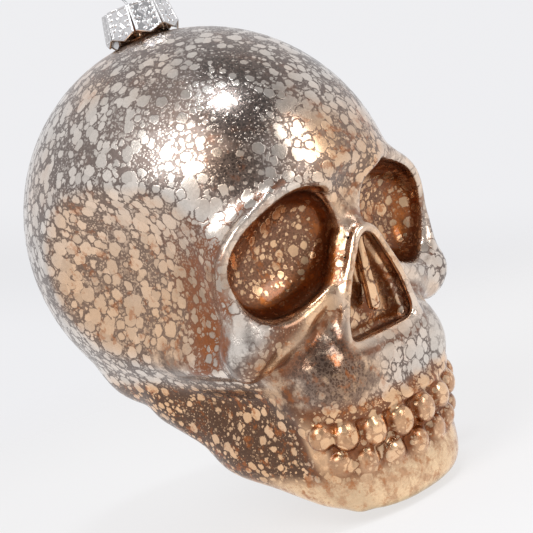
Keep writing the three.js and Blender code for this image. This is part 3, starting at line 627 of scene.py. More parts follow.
def petal_form(points, tip):
    """Distance from one pressed petal, with its raised border, hollow diamonds and beads."""
    u, v, w = np.abs(points[..., 0]), points[..., 1], points[..., 2]
    top = CAP_RADIUS * math.sin(math.pi / CAP_SIDES)
    shoulder = tip - CAP_POINT
    low = top + shoulder * math.tan(CAP_FLARE) * math.tan(math.pi / CAP_SIDES) - CAP_NOTCH / 2
    shoulder, tip = shoulder / math.cos(CAP_FLARE), tip / math.cos(CAP_FLARE)
    side = ((u - top) * shoulder - v * (low - top)) / math.hypot(shoulder, low - top)
    point = (u * (tip - shoulder) + (v - tip) * low) / math.hypot(tip - shoulder, low)
    outline = both(np.maximum(side, -v), point, CAP_ROUND)
    d = both(outline, np.abs(w + CAP_SHEET / 2) - CAP_SHEET / 2, CAP_ROUND)
    inset, radius = CAP_BORDER
    d = mellow(d, np.hypot(outline + inset, w) - radius, CAP_ROUND)
    wide, tall = DIAMOND_HALF
    thick, high = DIAMOND_RIDGE
    for across, down in DIAMONDS:
        edge = (np.abs(u - across) * tall + np.abs(v - down) * wide - wide * tall) / math.hypot(wide, tall)
        ridge = np.hypot((edge + thick) / thick, w / high) - 1
        d = mellow(d, ridge * min(thick, high), CAP_ROUND)
    for across, down in BEADS:
        bead = np.sqrt((u - across) ** 2 + (v - down) ** 2 + w**2) - BEAD_RADIUS
        d = mellow(d, bead, CAP_ROUND)
    return d


def lid_form(points):
    """Distance from the cap's flat top, with its two holes for the wire."""
    x, y, z = points[..., 0], points[..., 1], points[..., 2]
    flats = CAP_RADIUS * math.cos(math.pi / CAP_SIDES)
    turns = [CAP_TURN + 2 * math.pi * (i + 0.5) / CAP_SIDES + math.pi / CAP_SIDES for i in range(CAP_SIDES)]
    outline = np.maximum.reduce([x * math.sin(a) + y * math.cos(a) for a in turns]) - flats
    d = both(outline, np.abs(z + CAP_SHEET / 2) - CAP_SHEET / 2, CAP_ROUND)
    hole = np.hypot(np.abs(x) - LEG_SIDE, y) - WIRE_RADIUS - HOLE_CLEARANCE
    return carve(d, hole, CAP_ROUND)


def petal_places(points, drop):
    """Points of a petal's own frame, placed on the cap's first side in the part's frame."""
    u, v, w = points.T
    out = CAP_RADIUS * math.cos(math.pi / CAP_SIDES) + v * math.sin(CAP_FLARE) + w * math.cos(CAP_FLARE)
    up = w * math.sin(CAP_FLARE) - v * math.cos(CAP_FLARE)
    return np.stack([u, -out, up - drop], 1)


def through(keys, steps):
    """A smooth line through key points, evenly eased by the distance between them."""
    keys = np.array(keys, float)
    keys = np.vstack([2 * keys[0] - keys[1], keys, 2 * keys[-1] - keys[-2]])
    line = []
    for p0, p1, p2, p3 in zip(keys, keys[1:], keys[2:], keys[3:]):
        t0 = 0.0
        t1 = t0 + np.linalg.norm(p1 - p0) ** 0.5
        t2 = t1 + np.linalg.norm(p2 - p1) ** 0.5
        t3 = t2 + np.linalg.norm(p3 - p2) ** 0.5
        for t in np.linspace(t1, t2, steps, endpoint=False):
            a1 = ((t1 - t) * p0 + (t - t0) * p1) / (t1 - t0)
            a2 = ((t2 - t) * p1 + (t - t1) * p2) / (t2 - t1)
            a3 = ((t3 - t) * p2 + (t - t2) * p3) / (t3 - t2)
            b1 = ((t2 - t) * a1 + (t - t0) * a2) / (t2 - t0)
            b2 = ((t3 - t) * a2 + (t - t1) * a3) / (t3 - t1)
            line.append(((t2 - t) * b1 + (t - t1) * b2) / (t2 - t1))
    return np.array(line + [keys[-2]])


def wire_line():
    """The wire's middle line, from one leg's end round the loop to the other's."""
    reach = math.hypot(LEG_SIDE, LOOP_HEIGHT - LEG_BEND)
    start = math.atan2(LEG_BEND - LOOP_HEIGHT, LEG_SIDE) + math.acos(LOOP_RADIUS / reach)
    end = np.array((LEG_END[0], -LEG_END[1]))
    straight = np.array((LEG_SIDE, -LEG_STRAIGHT))
    bend = np.array((LEG_SIDE, LEG_BEND))
    loop = [
        np.array((LOOP_RADIUS * math.cos(a), LOOP_HEIGHT + LOOP_RADIUS * math.sin(a)))
        for a in np.linspace(start, math.pi / 2, LOOP_KEYS)
    ]
    half = [end, (end + straight) / 2, straight + (end - straight) / 8]
    half += [straight + (bend - straight) * t for t in (1 / 8, 1 / 2, 7 / 8)]
    half += [bend + (loop[0] - bend) / 4] + loop[:-1]
    keys = half + [loop[-1]] + [p * (-1, 1) for p in reversed(half)]
    flat = through(keys, KEY_STEPS)
    return np.stack([flat[:, 0], 0 * flat[:, 0], flat[:, 1]], 1)


def smooth(value, low, high):
    """A smooth step from 0 at low to 1 at high."""
    t = np.clip((value - low) / (high - low), 0, 1)
    return t * t * (3 - 2 * t)


def line_of(value, middle, width):
    """A soft line: 1 where the value is in its middle."""
    return np.exp(-(((value - middle) / width) ** 2))


def glow(place, centre, reach):
    """A soft patch round a place: 1 in its middle and 0 far away."""
    return np.exp(-sum(((p - c) / reach) ** 2 for p, c in zip(place, centre)))


def patches(place, spots):
    """The strongest of several soft patches."""
    return np.maximum.reduce([glow(place, centre, reach) * share for centre, reach, share in spots])


def along_rim(distance, depth, line, front, back):
    """A soft line at a distance from the socket's rim, near its front plane."""
    return line_of(distance, *line) * smooth(depth, *front) * smooth(-depth, *back)


def along_nose(distance, depth, line, back, front):
    """A soft line at a distance from the outline of the nose opening, near its front plane."""
    return line_of(distance, *line) * smooth(-depth, *back) * (depth > front)


def skull_masks(points, normals, teeth):
    """Where the finish of the glass changes, from its hollows, its ridges and its features, with painted shade in
    creases, on walls and beside rims and folds, and a painted highlight along lips and ridges.
    """

    def felt(reach):
        """How close the form is in front of a face, or how thin it is behind it for a negative reach."""
        return np.clip(1 - glass_form(points + reach * normals, teeth) / reach, 0, 1)

    whole = to_skull(points)
    x, y, z = np.abs(whole[0]), whole[1], whole[2]
    sx, sy, sz = in_socket(x, y, z)
    rim = oval(sx, sz, SOCKET.half, SOCKET.squareness)
    socket = smooth(-rim, *RIM_STEP) * smooth(sy, *SOCKET_FRONT) * (sy < SOCKET_BACK)
    nx, ny, nz = turned(x, y, z, NOSE)
    edge = nose_outline(nx, nz)
    nose = smooth(-edge, *RIM_STEP) * smooth(ny, *NOSE_FRONT) * (ny < NOSE_BACK)
    temple = egg_distance(x, y, z, TEMPLE)
    # The streak: copper-brown along the temple's front wall, partly its own colour and partly painted shade of that
    # wall.
    streak = smooth(-temple, *STREAK_STEP) * smooth(-y, *STREAK_FRONT) * smooth(-z, *STREAK_FOOT)
    tooth = np.minimum.reduce([egg_distance(x, y, z, egg) for egg in teeth_of(teeth)])
    mouth = smooth(-tooth, *MOUTH_STEP)
    # Painted shade: creases get darker, browner ground and fewer droplets, also in the gaps between the teeth.
    crease = smooth(felt(CREASE_REACH), *CREASE_STEP) * (1 - CREASE_IN_NOSE * nose)
    fold = rod_distance(x, y, z, FOLD)
    seam = chain_distance(x, y, z, FRONT_RIDGE)
    # Beside the fold, the nose's flank and the front ridge the ground is copper-brown and, through the wall mask,
    # also darkened as painted shade.
    flank = smooth(-rod_distance(x, y, z, FLANK), *BESIDE_FLANK)
    beside = np.maximum.reduce(
        [
            smooth(-fold, *BESIDE_FOLD) * smooth(-whole[0], *BESIDE_NEAR_SIDE),
            flank,
            smooth(-seam, *BESIDE_SEAM) * BESIDE_SEAM_SHARE,
        ]
    )
    # The border: painted shade just outside the rims of the sockets and the nose.
    border = np.maximum(along_rim(rim, sy, *SOCKET_BORDER), along_nose(edge, ny, *NOSE_BORDER))
    # The lip: raised rims, the fold and the front ridge kept bright, partly the glass's own silver and partly a
    # painted highlight.
    lips = [along_rim(rim, sy, *SOCKET_LIP), along_nose(edge, ny, *NOSE_LIP), line_of(fold, *FOLD_LINE)]
    lip = np.maximum.reduce(lips + [line_of(seam, *SEAM_LINE) * SEAM_SHARE * smooth(-z, *SEAM_FOOT)])
    rear = smooth(y, *JAW_REAR)
    along, across, round_ = WANDER_WAVES
    wander = np.sin(along * x + across * y) * np.cos(round_ * y) * (WANDER[0] + WANDER[1] * rear)
    depth = (wander - z - JAW_RISE * np.maximum(y, 0) - JAW_TOP) / (JAW_EDGE[0] + JAW_EDGE[1] * rear)
    foot = smooth(under_distance(y, z), *UNDER_STEP) * smooth(-y, *UNDER_BACK)
    chin = np.maximum(smooth(-z, *CHIN_TOP) * smooth(-y, *CHIN_BACK), foot)
    # The wall mask: brown walls of the hollows, and painted shade in creases, beside folds and rims and on the
    # nose's flank.
    walls = [value * share for value, share in zip((nose, beside, border), WALL_SHARES)]
    walls += [smooth(rim, *WALL_STEP) * socket, crease, flank]
    plain = smooth(patches(whole, PLAIN_PATCHES), *PLAIN_STEP) * PLAIN_SHARE * (1 - mouth)
    return {
        "socket": np.maximum(socket, nose),
        "wall": np.maximum.reduce(walls) * (1 - lip),
        "lip": lip,
        "temple": smooth(-temple, *DIP_STEP),
        "streak": streak,
        # Hollow: copper in recesses, and painted shade in them; ridge: more silver on raised forms, and a painted
        # highlight.
        "hollow": felt(HOLLOW_REACH),
        "ridge": felt(-RIDGE_REACH),
        "tooth": smooth(-tooth, *TOOTH_FACE_STEP) * (1 - crease),
        "mouth": mouth,
        "jaw": smooth(depth, -1, 1) * smooth(y, *JAW_FRONT),
        "chin": chin,
        "plain": np.maximum(chin * PLAIN_CHIN, plain),
        "warmth": np.maximum.reduce([patches(whole, WARM_PATCHES), beside, mouth * WARM_MOUTH]),
        "thin": np.maximum(patches(whole, THIN_PATCHES), socket * THIN_SOCKET),
        "clear": patches(whole, CLEAR_PATCHES),
        "edge": smooth(-z, *EDGE_STEP),
    }


def mesh_object(name, points, faces):
    """A smooth-shaded mesh object in the scene."""
    mesh = bpy.data.meshes.new(name)
    mesh.from_pydata(points.tolist(), [], np.asarray(faces).tolist())
    mesh.validate()
    mesh.shade_smooth()
    return in_scene(name, mesh)


def in_scene(name, data):
    """A new object in the scene."""
    obj = bpy.data.objects.new(name, data)
    bpy.context.collection.objects.link(obj)
    return obj


class Value:
    """A socket of a node tree, on which plain arithmetic adds the maths nodes."""

    def __init__(self, tree, socket):
        self.tree = tree
        self.socket = socket

    def __add__(self, other):
        return self.tree.math("ADD", self, other)

    def __sub__(self, other):
        return self.tree.math("SUBTRACT", self, other)

    def __rsub__(self, other):
        return self.tree.math("SUBTRACT", other, self)

    def __mul__(self, other):
        return self.tree.math("MULTIPLY", self, other)

    def __rtruediv__(self, other):
        return self.tree.math("DIVIDE", other, self)

    def __abs__(self):
        return self.tree.math("ABSOLUTE", self)

    __radd__ = __add__
    __rmul__ = __mul__


class Tree:
    """Adds nodes to a node tree and joins them."""

    def __init__(self, tree):
        self.tree = tree

    def put(self, value, socket):
        if isinstance(value, Value):
            self.tree.links.new(value.socket, socket)
        else:
            socket.default_value = value

    def add(self, kind, inputs=None, **settings):
        """A node with its settings and inputs, which are named or numbered."""
        node = self.tree.nodes.new(kind)
        for key, value in settings.items():
            setattr(node, key, value)
        for key, value in (inputs or {}).items():
            self.put(value, node.inputs[key])
        return node

    def take(self, output, kind, inputs=None, **settings):
        """One output of a new node."""
        return Value(self, self.add(kind, inputs, **settings).outputs[output])

    def all_of(self, node):
        """All outputs of a node by name."""
        return {socket.name: Value(self, socket) for socket in node.outputs}

    def math(self, operation, *values, **settings):
        return self.take(0, "ShaderNodeMath", dict(enumerate(values)), operation=operation, **settings)

    def vector(self, operation, output, inputs):
        return self.take(output, "ShaderNodeVectorMath", inputs, operation=operation)

    def most(self, first, *others):
        """The greatest of some numbers."""
        for other in others:
            first = self.math("MAXIMUM", first, other)
        return first

    def ramp(self, value, low, high):
        """0 at low, 1 at high, smooth between."""
        return self.spread(value, low, high, 0, 1, interpolation_type="SMOOTHSTEP")

    def spread(self, value, low, high, to_low, to_high, **settings):
        """A number moved from one range to another."""
        inputs = {"Value": value, "From Min": low, "From Max": high, "To Min": to_low, "To Max": to_high}
        return self.take("Result", "ShaderNodeMapRange", inputs, **settings)

    def mix(self, share, a, b):
        """Colour a where share is 0 and b where it is 1."""
        return self.take(2, "ShaderNodeMix", {0: share, 6: a, 7: b}, data_type="RGBA")

    def blend(self, share, a, b):
        """Number a where share is 0 and b where it is 1."""
        return self.take(0, "ShaderNodeMix", {0: share, 2: a, 3: b}, data_type="FLOAT")

    def noise(self, vector, scale, detail, rough):
        """The number and the colour of a noise."""
        inputs = {"Vector": vector, "Scale": scale, "Detail": detail, "Roughness": rough}
        found = self.all_of(self.add("ShaderNodeTexNoise", inputs))
        return found["Fac"], found["Color"]

    def cloud(self, *noise):
        return self.noise(*noise)[0]

    def cells(self, vector, scale, feature):
        return self.all_of(self.add("ShaderNodeTexVoronoi", {"Vector": vector, "Scale": scale}, feature=feature))

    def scaled(self, vector, share):
        """A vector or a colour times a share."""
        return self.vector("SCALE", 0, {0: vector, "Scale": share})

    def bent(self, vector, wave, reach):
        """A vector pushed about by a noise's colour."""
        centred = self.vector("ADD", 0, {0: wave, 1: (-0.5, -0.5, -0.5)})
        return self.vector("ADD", 0, {0: vector, 1: self.scaled(centred, reach)})

    def mask(self, name):
        return self.take("Fac", "ShaderNodeAttribute", attribute_name=name)

    def group(self, name, inputs):
        return self.all_of(self.add("ShaderNodeGroup", inputs, node_tree=shared_group(name)))

    def bump(self, height, strength, distance):
        return self.take(0, "ShaderNodeBump", {"Height": height, "Strength": strength, "Distance": distance})


FLOAT = "NodeSocketFloat"
VECTOR = "NodeSocketVector"


def new_tree(name, kind, inputs, outputs):
    """A node group with named sockets, as a builder with its inputs by name and the sockets of its outputs."""
    tree = bpy.data.node_groups.new(name, kind)
    for label, socket_kind in inputs:
        tree.interface.new_socket(label, in_out="INPUT", socket_type=socket_kind)
    for label, socket_kind in outputs:
        tree.interface.new_socket(label, in_out="OUTPUT", socket_type=socket_kind)
    t = Tree(tree)
    return t, t.all_of(t.add("NodeGroupInput")), t.add("NodeGroupOutput").inputs


# A relative noise has its scale as a share of the pattern's.
DROPLET_WAVE = (1.3, 2.0, 0.55)
DROPLET_RIPPLE = (4.5, 3.0, 0.6)
RIPPLE_SHARE = 0.25
DROPLET_REACH = (0.55, 1.25)
RIM_REACH = 1.3
LACE_WAVE = (0.9, 3.0, 0.6)
LACE_BEND = 1.6
LACE_LEVELS = (0.3, 0.7, 0.4, 1.9)
SCUFF_NOISE = (4.0, 0.6)
SMEAR_NOISE = (3.0, 0.5)


def droplet_nodes(t, i):
    """Droplets of one size on a surface: a mask, a rim and a different number for each droplet."""
    scale = 1.0 / i["Size"]
    wave = t.noise(i["Vector"], scale * DROPLET_WAVE[0], *DROPLET_WAVE[1:])[1]
    near = t.cells(t.bent(i["Vector"], wave, i["Size"] * i["Waviness"]), scale, "F1")
    tone = t.all_of(t.add("ShaderNodeSeparateColor", {0: near["Color"]}))
    limit = i["Cover"] * t.spread(tone["Red"], 0, 1, *DROPLET_REACH)
    ripple = t.cloud(i["Vector"], scale * DROPLET_RIPPLE[0], *DROPLET_RIPPLE[1:])
    gap = limit - near["Distance"] + (ripple - 0.5) * RIPPLE_SHARE
    rim = 1.0 - t.ramp(abs(gap), 0.0, i["Softness"] * RIM_REACH)
    return {"Mask": t.ramp(gap, 0.0, i["Softness"]), "Rim": rim, "Number": tone["Green"]}


def lace_nodes(t, i):
    """A fine network round small bare cells: a mask that is 1 on the network."""
    scale = 1.0 / i["Size"]
    level, wave = t.noise(i["Vector"], scale * LACE_WAVE[0], *LACE_WAVE[1:])
    edge = t.cells(t.bent(i["Vector"], wave, i["Size"] * LACE_BEND), scale, "DISTANCE_TO_EDGE")["Distance"]
    width = i["Width"] * t.spread(level, *LACE_LEVELS)
    return {"Mask": 1.0 - t.ramp(edge, width * 0.5, width)}


def wear_nodes(t, i):
    """Fine scuffs and broad smears on bright metal."""
    scuff = t.cloud(i["Vector"], 1.0 / i["Scuff size"], *SCUFF_NOISE)
    return {"Scuff": scuff, "Smear": t.cloud(i["Vector"], 1.0 / i["Smear size"], *SMEAR_NOISE)}


# The shared shader groups: the inputs after the place on the object, the outputs and what makes them.
GROUPS = {
    "Droplets": (("Size", "Cover", "Softness", "Waviness"), ("Mask", "Rim", "Number"), droplet_nodes),
    "Lace": (("Size", "Width"), ("Mask",), lace_nodes),
    "Metal wear": (("Scuff size", "Smear size"), ("Scuff", "Smear"), wear_nodes),
}


def shared_group(name):
    """The shader node group of a name, filled when it is first asked for."""
    if name not in bpy.data.node_groups:
        inputs, outputs, fill = GROUPS[name]
        sockets = [("Vector", VECTOR)] + [(label, FLOAT) for label in inputs]
        t, i, o = new_tree(name, "ShaderNodeTree", sockets, [(label, FLOAT) for label in outputs])
        for label, value in fill(t, i).items():
            t.put(value, o[label])
    return bpy.data.node_groups[name]


def new_material(name):
    """A material, the builder of its nodes, its shader and the place on the object."""
    material = bpy.data.materials.new(name)
    material.use_nodes = True
    t = Tree(material.node_tree)
    return material, t, material.node_tree.nodes["Principled BSDF"], t.take("Object", "ShaderNodeTexCoord")


# The glass finish. A noise is its scale, detail and roughness.
BROAD_NOISE = (42.0, 3.0, 0.55)
DRIFT_NOISE = (110.0, 3.0, 0.6)
CLOUD_NOISE = (260.0, 5.0, 0.7)
SPECK_NOISE = (330.0, 4.0, 0.7)
GRAIN_NOISE = (1500.0, 3.0, 0.65)
GRAIN_RANGE = (0.25, 0.75)
WARM_SHARES = (("temple", 0.65), ("jaw", 1.0), ("chin", 0.75), ("hollow", 0.75), ("lip", 0.35))
WARM_DRIFT = 1.1
STREAK_DRIFT = 2.2
STREAK_RAMP = (1.35, 2.05)
# The streak's share of the deep mask is painted shade of the temple's front wall.
DEEP_STREAK = 0.85
HOLLOW_RAMP = (0.35, 0.8)
THIN_RAMP = (0.75, 1.15)
COVER = 0.56
COVER_SHARES = (
    ("clear", 0.2),
    ("thin", -0.24),
    ("deep", -0.2),
    ("side", -0.14),
    ("socket", -0.03),
    ("tooth", -0.16),
    ("temple", 0.05),
)
# More droplets on ridges and fewer in deep places: partly the silver's own lay, partly a painted highlight and
# painted shade.
COVER_RIDGE = 0.12
RIDGE_LOW = 0.2
COVER_DRIFT = 0.45
# Each layer's share of the droplet size and of the cover, its softness and its waviness
LAYERS = ((1.0, 1.0, 0.09, 0.5), (0.46, 0.92, 0.1, 0.7), (0.2, 0.92, 0.16, 0.6))
SMALL_RAMP = (0.38, 0.52)
FINE_RAMP = (0.6, 0.42)
FINE_SHARE = 0.75
CLOUD_RAMP = (0.36, 0.56)
CLOUD_LIFT = 0.2
# Lips kept bright: partly their own silver, partly a painted highlight.
LIP_SILVER_AND_HIGHLIGHT = 0.85
TOOTH_BRIGHT = 0.5
DROPLET_SHADES = (0.84, 1.05)
SILVER_GRAIN = (0.9, 1.06)
# Painted shade in deep places and a painted highlight on ridges.
DEEP_PAINTED_SHADE = 0.5
RIDGE_PAINTED_HIGHLIGHT = 1.18
RIDGE_FULL = 0.6
# How much of a colour the etched ground takes where a mask is 1. The brown on deep places and the rust on the streak
# are partly painted shade.
GROUND_TINTS = (
    ("socket", 0.5, "brown"),
    ("mouth", 0.7, "brown"),
    ("tooth", 1.0, "rose"),
    ("deep", 1.0, "brown"),
    ("streak", 0.42, "rust"),
    ("side", 0.85, "umber"),
    ("chin", 0.85, "amber"),
)
GROUND_GRAIN = (0.78, 1.16)
LACE_SIZE = 0.3
LACE_WIDTH = 0.16
OUTLINE = 0.14
SPECK_RAMP = (0.53, 0.66)
SPECK_SHARE = 0.7
OLIVE_SHARE = 0.4
GROUND_ROUGH = 0.42
THIN_ROUGH = 0.18
BRIGHT_ROUGH = 0.2
ROUGH_GRAIN = 0.12
COAT = 0.4
COAT_ROUGH = 0.03
GLASS_BUMP = (0.2, 0.2 * MM)
MASKS = ("socket", "wall", "lip", "temple", "streak", "hollow", "ridge", "tooth", "mouth", "jaw", "chin", "plain")
MASKS += ("warmth", "thin", "clear", "edge")


def glass_material(looks):
    """Silvered glass: bright droplets on etched ground, silver outside and copper in the hollows, with painted shade
    in hollows and creases and a painted highlight on ridges and lips.
    """
    material, t, shader, where = new_material("Silvered glass")
    broad, drift, grain = (t.cloud(where, *noise) for noise in (BROAD_NOISE, DRIFT_NOISE, GRAIN_NOISE))
    masks = {name: t.mask(name) for name in MASKS}
    chin, tooth, plain, ridge = (masks[name] for name in ("chin", "tooth", "plain", "ridge"))
    warm = t.most(masks["socket"], masks["warmth"], *(masks[name] * share for name, share in WARM_SHARES))
    warm = t.math("ADD", warm, (broad - 0.5) * WARM_DRIFT, use_clamp=True)
    streak = masks["streak"] * t.ramp(drift * STREAK_DRIFT + masks["streak"], *STREAK_RAMP)
    # Deep: brown walls of the hollows, and painted shade in creases, beside rims and folds, along the temple streak
    # and in hollows.
    deep = t.most(masks["wall"], streak * DEEP_STREAK, t.ramp(masks["hollow"], *HOLLOW_RAMP))
    thin = masks["thin"] * t.ramp(drift + masks["thin"], *THIN_RAMP)
    masks.update(streak=streak, deep=deep, side=masks["jaw"] * (1.0 - chin))
    lift = (masks["clear"] - masks["thin"]) * CLOUD_LIFT
    masks["thin"] = thin

    cover = COVER
    for name, share in COVER_SHARES:
        cover = masks[name] * share + cover
    cover = cover + t.ramp(ridge, RIDGE_LOW, RIDGE_FULL) * COVER_RIDGE + (drift - 0.5) * COVER_DRIFT
    size = looks.droplet_size
    big, small, fine = (
        t.group(
            "Droplets",
            {"Vector": where, "Size": size * part, "Cover": cover * share, "Softness": soft, "Waviness": wavy},
        )
        for part, share, soft, wavy in LAYERS
    )
    gaps = 1.0 - big["Rim"]
    small_mask = small["Mask"] * (gaps * t.ramp(drift, *SMALL_RAMP))
    fine_mask = fine["Mask"] * (gaps * t.ramp(drift, *FINE_RAMP))
    bright = t.most(big["Mask"], small_mask, fine_mask * FINE_SHARE)
    bright = t.blend(plain, bright, t.ramp(t.cloud(where, *CLOUD_NOISE) + lift, *CLOUD_RAMP))
    # Lips and teeth kept bright; on the lips this is partly a painted highlight.
    bright = t.most(bright, masks["lip"] * LIP_SILVER_AND_HIGHLIGHT, tooth * TOOTH_BRIGHT)

    silver = t.mix(chin, t.mix(warm, looks.silver, looks.copper), looks.gold)
    # Droplet tone and grain, darkened in deep places as painted shade and lifted on ridges as a painted highlight.
    shade = t.blend(plain, t.spread(big["Number"], 0, 1, *DROPLET_SHADES), 1.0)
    shade = shade * t.spread(grain, *GRAIN_RANGE, *SILVER_GRAIN) * t.spread(deep, 0, 1, 1.0, DEEP_PAINTED_SHADE)
    silver = t.scaled(silver, shade * t.spread(ridge, 0, RIDGE_FULL, 1.0, RIDGE_PAINTED_HIGHLIGHT))
    burnt = t.mix(warm, looks.ground, looks.taupe)
    for name, share, colour in GROUND_TINTS:
        burnt = t.mix(masks[name] * share, burnt, getattr(looks, colour))
    lace = t.group("Lace", {"Vector": where, "Size": size * LACE_SIZE, "Width": LACE_WIDTH})["Mask"]
    burnt = t.mix(thin * (1.0 - lace), burnt, t.mix(warm, looks.bare, looks.umber))
    burnt = t.scaled(burnt, t.spread(grain, *GRAIN_RANGE, *GROUND_GRAIN))
    outline = big["Rim"] * OUTLINE * (1.0 - t.most(thin, plain))
    colour = t.scaled(t.mix(bright, burnt, silver), 1.0 - outline)
    speck = t.ramp(t.cloud(where, *SPECK_NOISE), *SPECK_RAMP)
    colour = t.mix(warm * speck * SPECK_SHARE, colour, looks.rust)
    t.put(t.mix(masks["edge"] * OLIVE_SHARE, colour, looks.olive), shader.inputs["Base Color"])
    shader.inputs["Metallic"].default_value = 1.0
    rough = t.blend(bright, t.blend(thin, GROUND_ROUGH, THIN_ROUGH), BRIGHT_ROUGH)
    t.put(rough + (grain - 0.5) * ROUGH_GRAIN, shader.inputs["Roughness"])
    shader.inputs["Coat Weight"].default_value = COAT
    shader.inputs["Coat Roughness"].default_value = COAT_ROUGH
    t.put(t.bump(bright, *GLASS_BUMP), shader.inputs["Normal"])
    return material


# The metal finish. Shares of the set colour and of the set roughness.
SMEAR_SIZE = 6 * MM
SMEAR_RAMP = (0.35, 0.75)
SMEAR_DULL = 0.8
SCUFF_RANGE = (0.3, 0.7)
SCUFF_ROUGH = (0.8, 1.3)
METAL_BUMP = (0.15, 0.05 * MM)
CAP_SCUFF = 1.1 * MM
WIRE_SCUFF = 0.7 * MM


def metal_material(name, looks, scuff_size):
    """Bright metal with faint scuffs and smears."""
    material, t, shader, where = new_material(name)
    wear = t.group("Metal wear", {"Vector": where, "Scuff size": scuff_size, "Smear size": SMEAR_SIZE})
    dull = tuple(c * SMEAR_DULL for c in looks.metal[:3]) + (1.0,)
    t.put(t.mix(t.ramp(wear["Smear"], *SMEAR_RAMP), looks.metal, dull), shader.inputs["Base Color"])
    shader.inputs["Metallic"].default_value = 1.0
    rough = t.spread(wear["Scuff"], *SCUFF_RANGE, *(looks.roughness * share for share in SCUFF_ROUGH))
    t.put(rough, shader.inputs["Roughness"])
    t.put(t.bump(wear["Scuff"], *METAL_BUMP), shader.inputs["Normal"])
    return material


def geometry_tree(name, inputs):
    """A geometry node tree that takes a seed's geometry and named inputs."""
    shape = ("Geometry", "NodeSocketGeometry")
    return new_tree(name, "GeometryNodeTree", [shape, *inputs, ("Material", "NodeSocketMaterial")], [shape])


def finish_tree(t, geometry, material, out):
    """Makes the geometry one plain mesh in its material."""
    real = t.take(0, "GeometryNodeRealizeInstances", {0: geometry})
    t.put(t.take(0, "GeometryNodeSetMaterial", {"Geometry": real, "Material": material}), out["Geometry"])
    return t.tree


def petal_ring_tree():
    """Copies of one petal, turned round the neck's axis."""
    t, i, o = geometry_tree("Petal ring", [("Count", "NodeSocketInt"), ("Turn", FLOAT)])
    spots = t.take(0, "GeometryNodePoints", {"Count": i["Count"]})
    angle = i["Turn"] + t.take(0, "GeometryNodeInputIndex") * (2 * math.pi / i["Count"])
    turn = t.take(0, "FunctionNodeEulerToRotation", {0: t.take(0, "ShaderNodeCombineXYZ", {"Z": angle})})
    ring = {"Points": spots, "Instance": i["Geometry"], "Rotation": turn}
    return finish_tree(t, t.take(0, "GeometryNodeInstanceOnPoints", ring), i["Material"], o)


def wire_tree():
    """A round wire along a line."""
    t, i, o = geometry_tree("Round wire", [("Radius", FLOAT), ("Sides", "NodeSocketInt")])
    line = t.take(0, "GeometryNodeMeshToCurve", {0: i["Geometry"]})
    circle = t.take(0, "GeometryNodeCurvePrimitiveCircle", {"Resolution": i["Sides"], "Radius": i["Radius"]})
    wire = t.take(0, "GeometryNodeCurveToMesh", {"Curve": line, "Profile Curve": circle, "Fill Caps": True})
    return finish_tree(t, wire, i["Material"], o)


def grown(name, seed, tree, **values):
    """A plain mesh object from a seed object and a geometry node tree."""
    modifier = seed.modifiers.new(tree.name, "NODES")
    modifier.node_group = tree
    for item in tree.interface.items_tree:
        if item.in_out == "INPUT" and item.name in values:
            modifier[item.identifier] = values[item.name]
    ready = seed.evaluated_get(bpy.context.evaluated_depsgraph_get())
    mesh = bpy.data.meshes.new_from_object(ready)
    seed.modifiers.clear()
    bpy.data.objects.remove(seed)
    mesh.name = name
    mesh.shade_smooth()
    return in_scene(name, mesh)


def colour_property(name, description, default):
    return bpy.props.FloatVectorProperty(
        name=name, description=description, default=(*default, 1), subtype="COLOR", size=4, min=0, max=1
    )


def length_property(name, description, default):
    return bpy.props.FloatProperty(
        name=name, description=description, default=default, unit="LENGTH", subtype="DISTANCE", precision=5
    )


def number_property(name, description, default):
    return bpy.props.FloatProperty(name=name, description=description, default=default, min=0)


class SkullSettings(bpy.types.PropertyGroup):
    cell: length_property("Cell", "Size of the grid that the glass is drawn on", 0.75 * MM)
    teeth: bpy.props.IntProperty(name="Teeth", description="Teeth in each row on each side", default=4, min=1, max=5)
    droplet_size: length_property("Droplet size", "Spacing of the largest silver droplets", 2.9 * MM)
    silver: colour_property("Silver", "Bright droplets outside", (0.76, 0.69, 0.62))
    copper: colour_property("Copper", "Bright droplets in the hollows", (0.85, 0.53, 0.3))
    gold: colour_property("Gold", "Bright finish of the chin", (0.92, 0.66, 0.41))
    ground: colour_property("Ground", "Etched glass between the droplets", (0.2, 0.155, 0.135))
    taupe: colour_property("Taupe", "Etched glass where the finish is warm", (0.29, 0.18, 0.12))
    # Brown is also the painted shade of creases, folds and the borders of rims.
    brown: colour_property("Brown", "Etched glass on the walls of the hollows", (0.23, 0.065, 0.014))
    umber: colour_property("Umber", "Etched glass on the sides of the jaw", (0.1, 0.043, 0.02))
    rose: colour_property("Rose", "Etched glass on the teeth", (0.36, 0.15, 0.07))
    amber: colour_property("Amber", "Etched glass on the chin", (0.7, 0.41, 0.23))
    bare: colour_property("Bare", "Thin silver between the network", (0.09, 0.078, 0.068))
    rust: colour_property("Rust", "Small burnt specks", (0.42, 0.12, 0.02))
    olive: colour_property("Olive", "Lowest edge of the chin", (0.4, 0.33, 0.12))


class CapSettings(bpy.types.PropertyGroup):
    metal: colour_property("Metal", "Colour of the pressed cap", (0.74, 0.73, 0.73))
    roughness: number_property("Roughness", "Roughness of the cap", 0.16)


class HangerSettings(bpy.types.PropertyGroup):
    wire_radius: length_property("Wire radius", "Radius of the wire", WIRE_RADIUS * MM)
    metal: colour_property("Metal", "Colour of the wire", (0.75, 0.75, 0.76))
    roughness: number_property("Roughness", "Roughness of the wire", 0.22)


